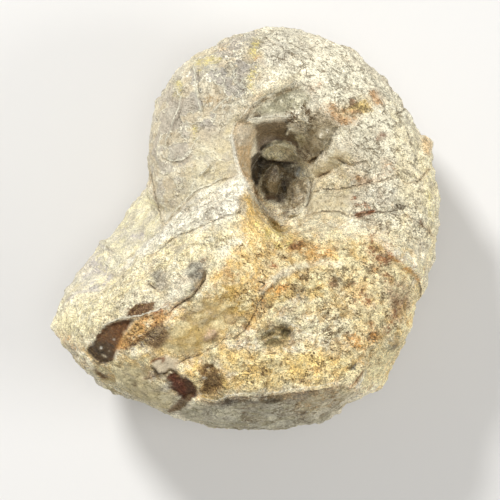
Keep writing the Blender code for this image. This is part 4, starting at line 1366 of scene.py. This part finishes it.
def dress_stone():
    """Makes the stone, sculpts it and paints it, and puts it in the solid's place."""
    low, high = (np.array(corner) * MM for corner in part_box(NODE))
    stone = make_stone()
    mesh = stone.data
    edges = edges_of(mesh)
    points = read_points(mesh)
    normals = read_points(mesh, "normal")
    facing = camera_side(normals, points)
    seen = in_picture(points)
    smooth = largest_of(seen, SMOOTH_AREAS) * facing

    points = sculpt_pit(points, normals)
    speckled = largest_of(ragged(points, seen, *AREA_SHAKE), SPECKLED_AREAS)
    hidden = HIDDEN_MARKS["speckled"]
    own = surface_relief(points, smooth, hidden + (speckled - hidden) * facing)
    lines = line_relief(ragged(points, seen, *LINE_SHAKE), facing)
    on_ground = smooth_step((points[:, 2] - FLAT_KEEP) / 0.8)
    points = points + ((own + lines) * on_ground)[:, None] * normals
    cavity = own - blurred(own[:, None], edges, CAVITY_ROUNDS)[:, 0]
    points = keep_in_box(points, low, high)
    write_points(mesh, points)
    facing = camera_side(read_points(mesh, "normal"), points)
    seen = in_picture(points)

    tint, stain, stain_and_shade_share, warm = paint(points, facing, cavity)
    store(mesh, "tint", tint, "FLOAT_COLOR")
    store(mesh, "stain", stain, "FLOAT_COLOR")
    store(mesh, "stain_and_shade_share", stain_and_shade_share)
    store(mesh, "warm", warm)
    store(mesh, "smooth", smooth)
    store(mesh, "gloss", largest_of(seen, GLOSS_AREAS) * facing)
    wide = ragged(points, seen, *AREA_SHAKE)
    for name, rows in (("speckled", SPECKLED_AREAS), ("veined", VEINED_AREAS), ("wrinkled", WRINKLED_AREAS),
                       ("crystals", CRYSTAL_AREAS)):
        hidden = HIDDEN_MARKS[name]
        store(mesh, name, hidden + (largest_of(wide, rows) - hidden) * facing)
    shaken = ragged(points, seen, *LINE_SHAKE)
    cracks = [(min(1.0, 3 * depth), line) for depth, _, line in CRACKS]
    for name, rows in (("crack", cracks), ("pale_line", PALE_LINES)):
        distance, strength = line_marks(shaken, facing, rows)
        store(mesh, name + "_distance", distance)
        store(mesh, name + "_strength", strength)

    write_points(mesh, points / MM)
    mesh.shade_smooth()
    mesh.materials.clear()
    mesh.materials.append(stone_material())
    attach(stone, "root")
    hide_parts(NODE)


# ---------------------------------------------------------------- floor, light and camera


def add_floor():
    material = bpy.data.materials.new("floor")
    material.use_nodes = True
    shader = material.node_tree.nodes["Principled BSDF"]
    shader.inputs["Base Color"].default_value = FLOOR_COLOUR
    shader.inputs["Roughness"].default_value = FLOOR_ROUGHNESS
    corners = [(FLOOR_HALF * x, FLOOR_HALF * y, 0) for x, y in ((-1, -1), (1, -1), (1, 1), (-1, 1))]
    mesh = bpy.data.meshes.new("floor")
    mesh.from_pydata(corners, [], [(0, 1, 2, 3)])
    mesh.materials.append(material)
    floor = bpy.data.objects.new("floor", mesh)
    bpy.context.scene.collection.objects.link(floor)
    floor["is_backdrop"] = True


def add_light(name, direction, distance, size, power):
    """An area light on the stone. Its direction is right, up and towards the camera in the picture."""
    right, up, out = direction
    way = right * PICTURE_RIGHT + up * PICTURE_UP + out * np.array((0, 0, 1.0))
    way = Vector(way / np.linalg.norm(way))
    light = bpy.data.lights.new(name, "AREA")
    light.shape = "DISK"
    light.size = size
    light.energy = power
    lamp = bpy.data.objects.new(name, light)
    bpy.context.scene.collection.objects.link(lamp)
    lamp.location = Vector(LIT_PLACE) + way * distance
    lamp.rotation_euler = way.to_track_quat("Z", "Y").to_euler()


def add_camera():
    data = bpy.data.cameras.new("camera")
    data.lens = LENS
    data.sensor_width = SENSOR
    data.clip_start = 0.01
    camera = bpy.data.objects.new("camera", data)
    bpy.context.scene.collection.objects.link(camera)
    turn = Matrix((PICTURE_RIGHT, PICTURE_UP, (0, 0, 1))).transposed().to_4x4()
    camera.matrix_world = Matrix.Translation(Vector(CAMERA_PLACE / MM)) @ turn
    bpy.context.scene.camera = camera


def light_scene():
    world = bpy.data.worlds.new("studio")
    world.use_nodes = True
    background = world.node_tree.nodes["Background"]
    background.inputs["Color"].default_value = WORLD_COLOUR
    background.inputs["Strength"].default_value = WORLD_STRENGTH
    bpy.context.scene.world = world
    for light in LIGHTS:
        add_light(*light)
    bpy.context.scene.view_settings.view_transform = "Standard"


add_camera()
light_scene()
add_floor()
dress_stone()

sizes = {"cad": cad_box, "visual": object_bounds()}
{name: [list(corner) for corner in box] for name, box in sizes.items()}
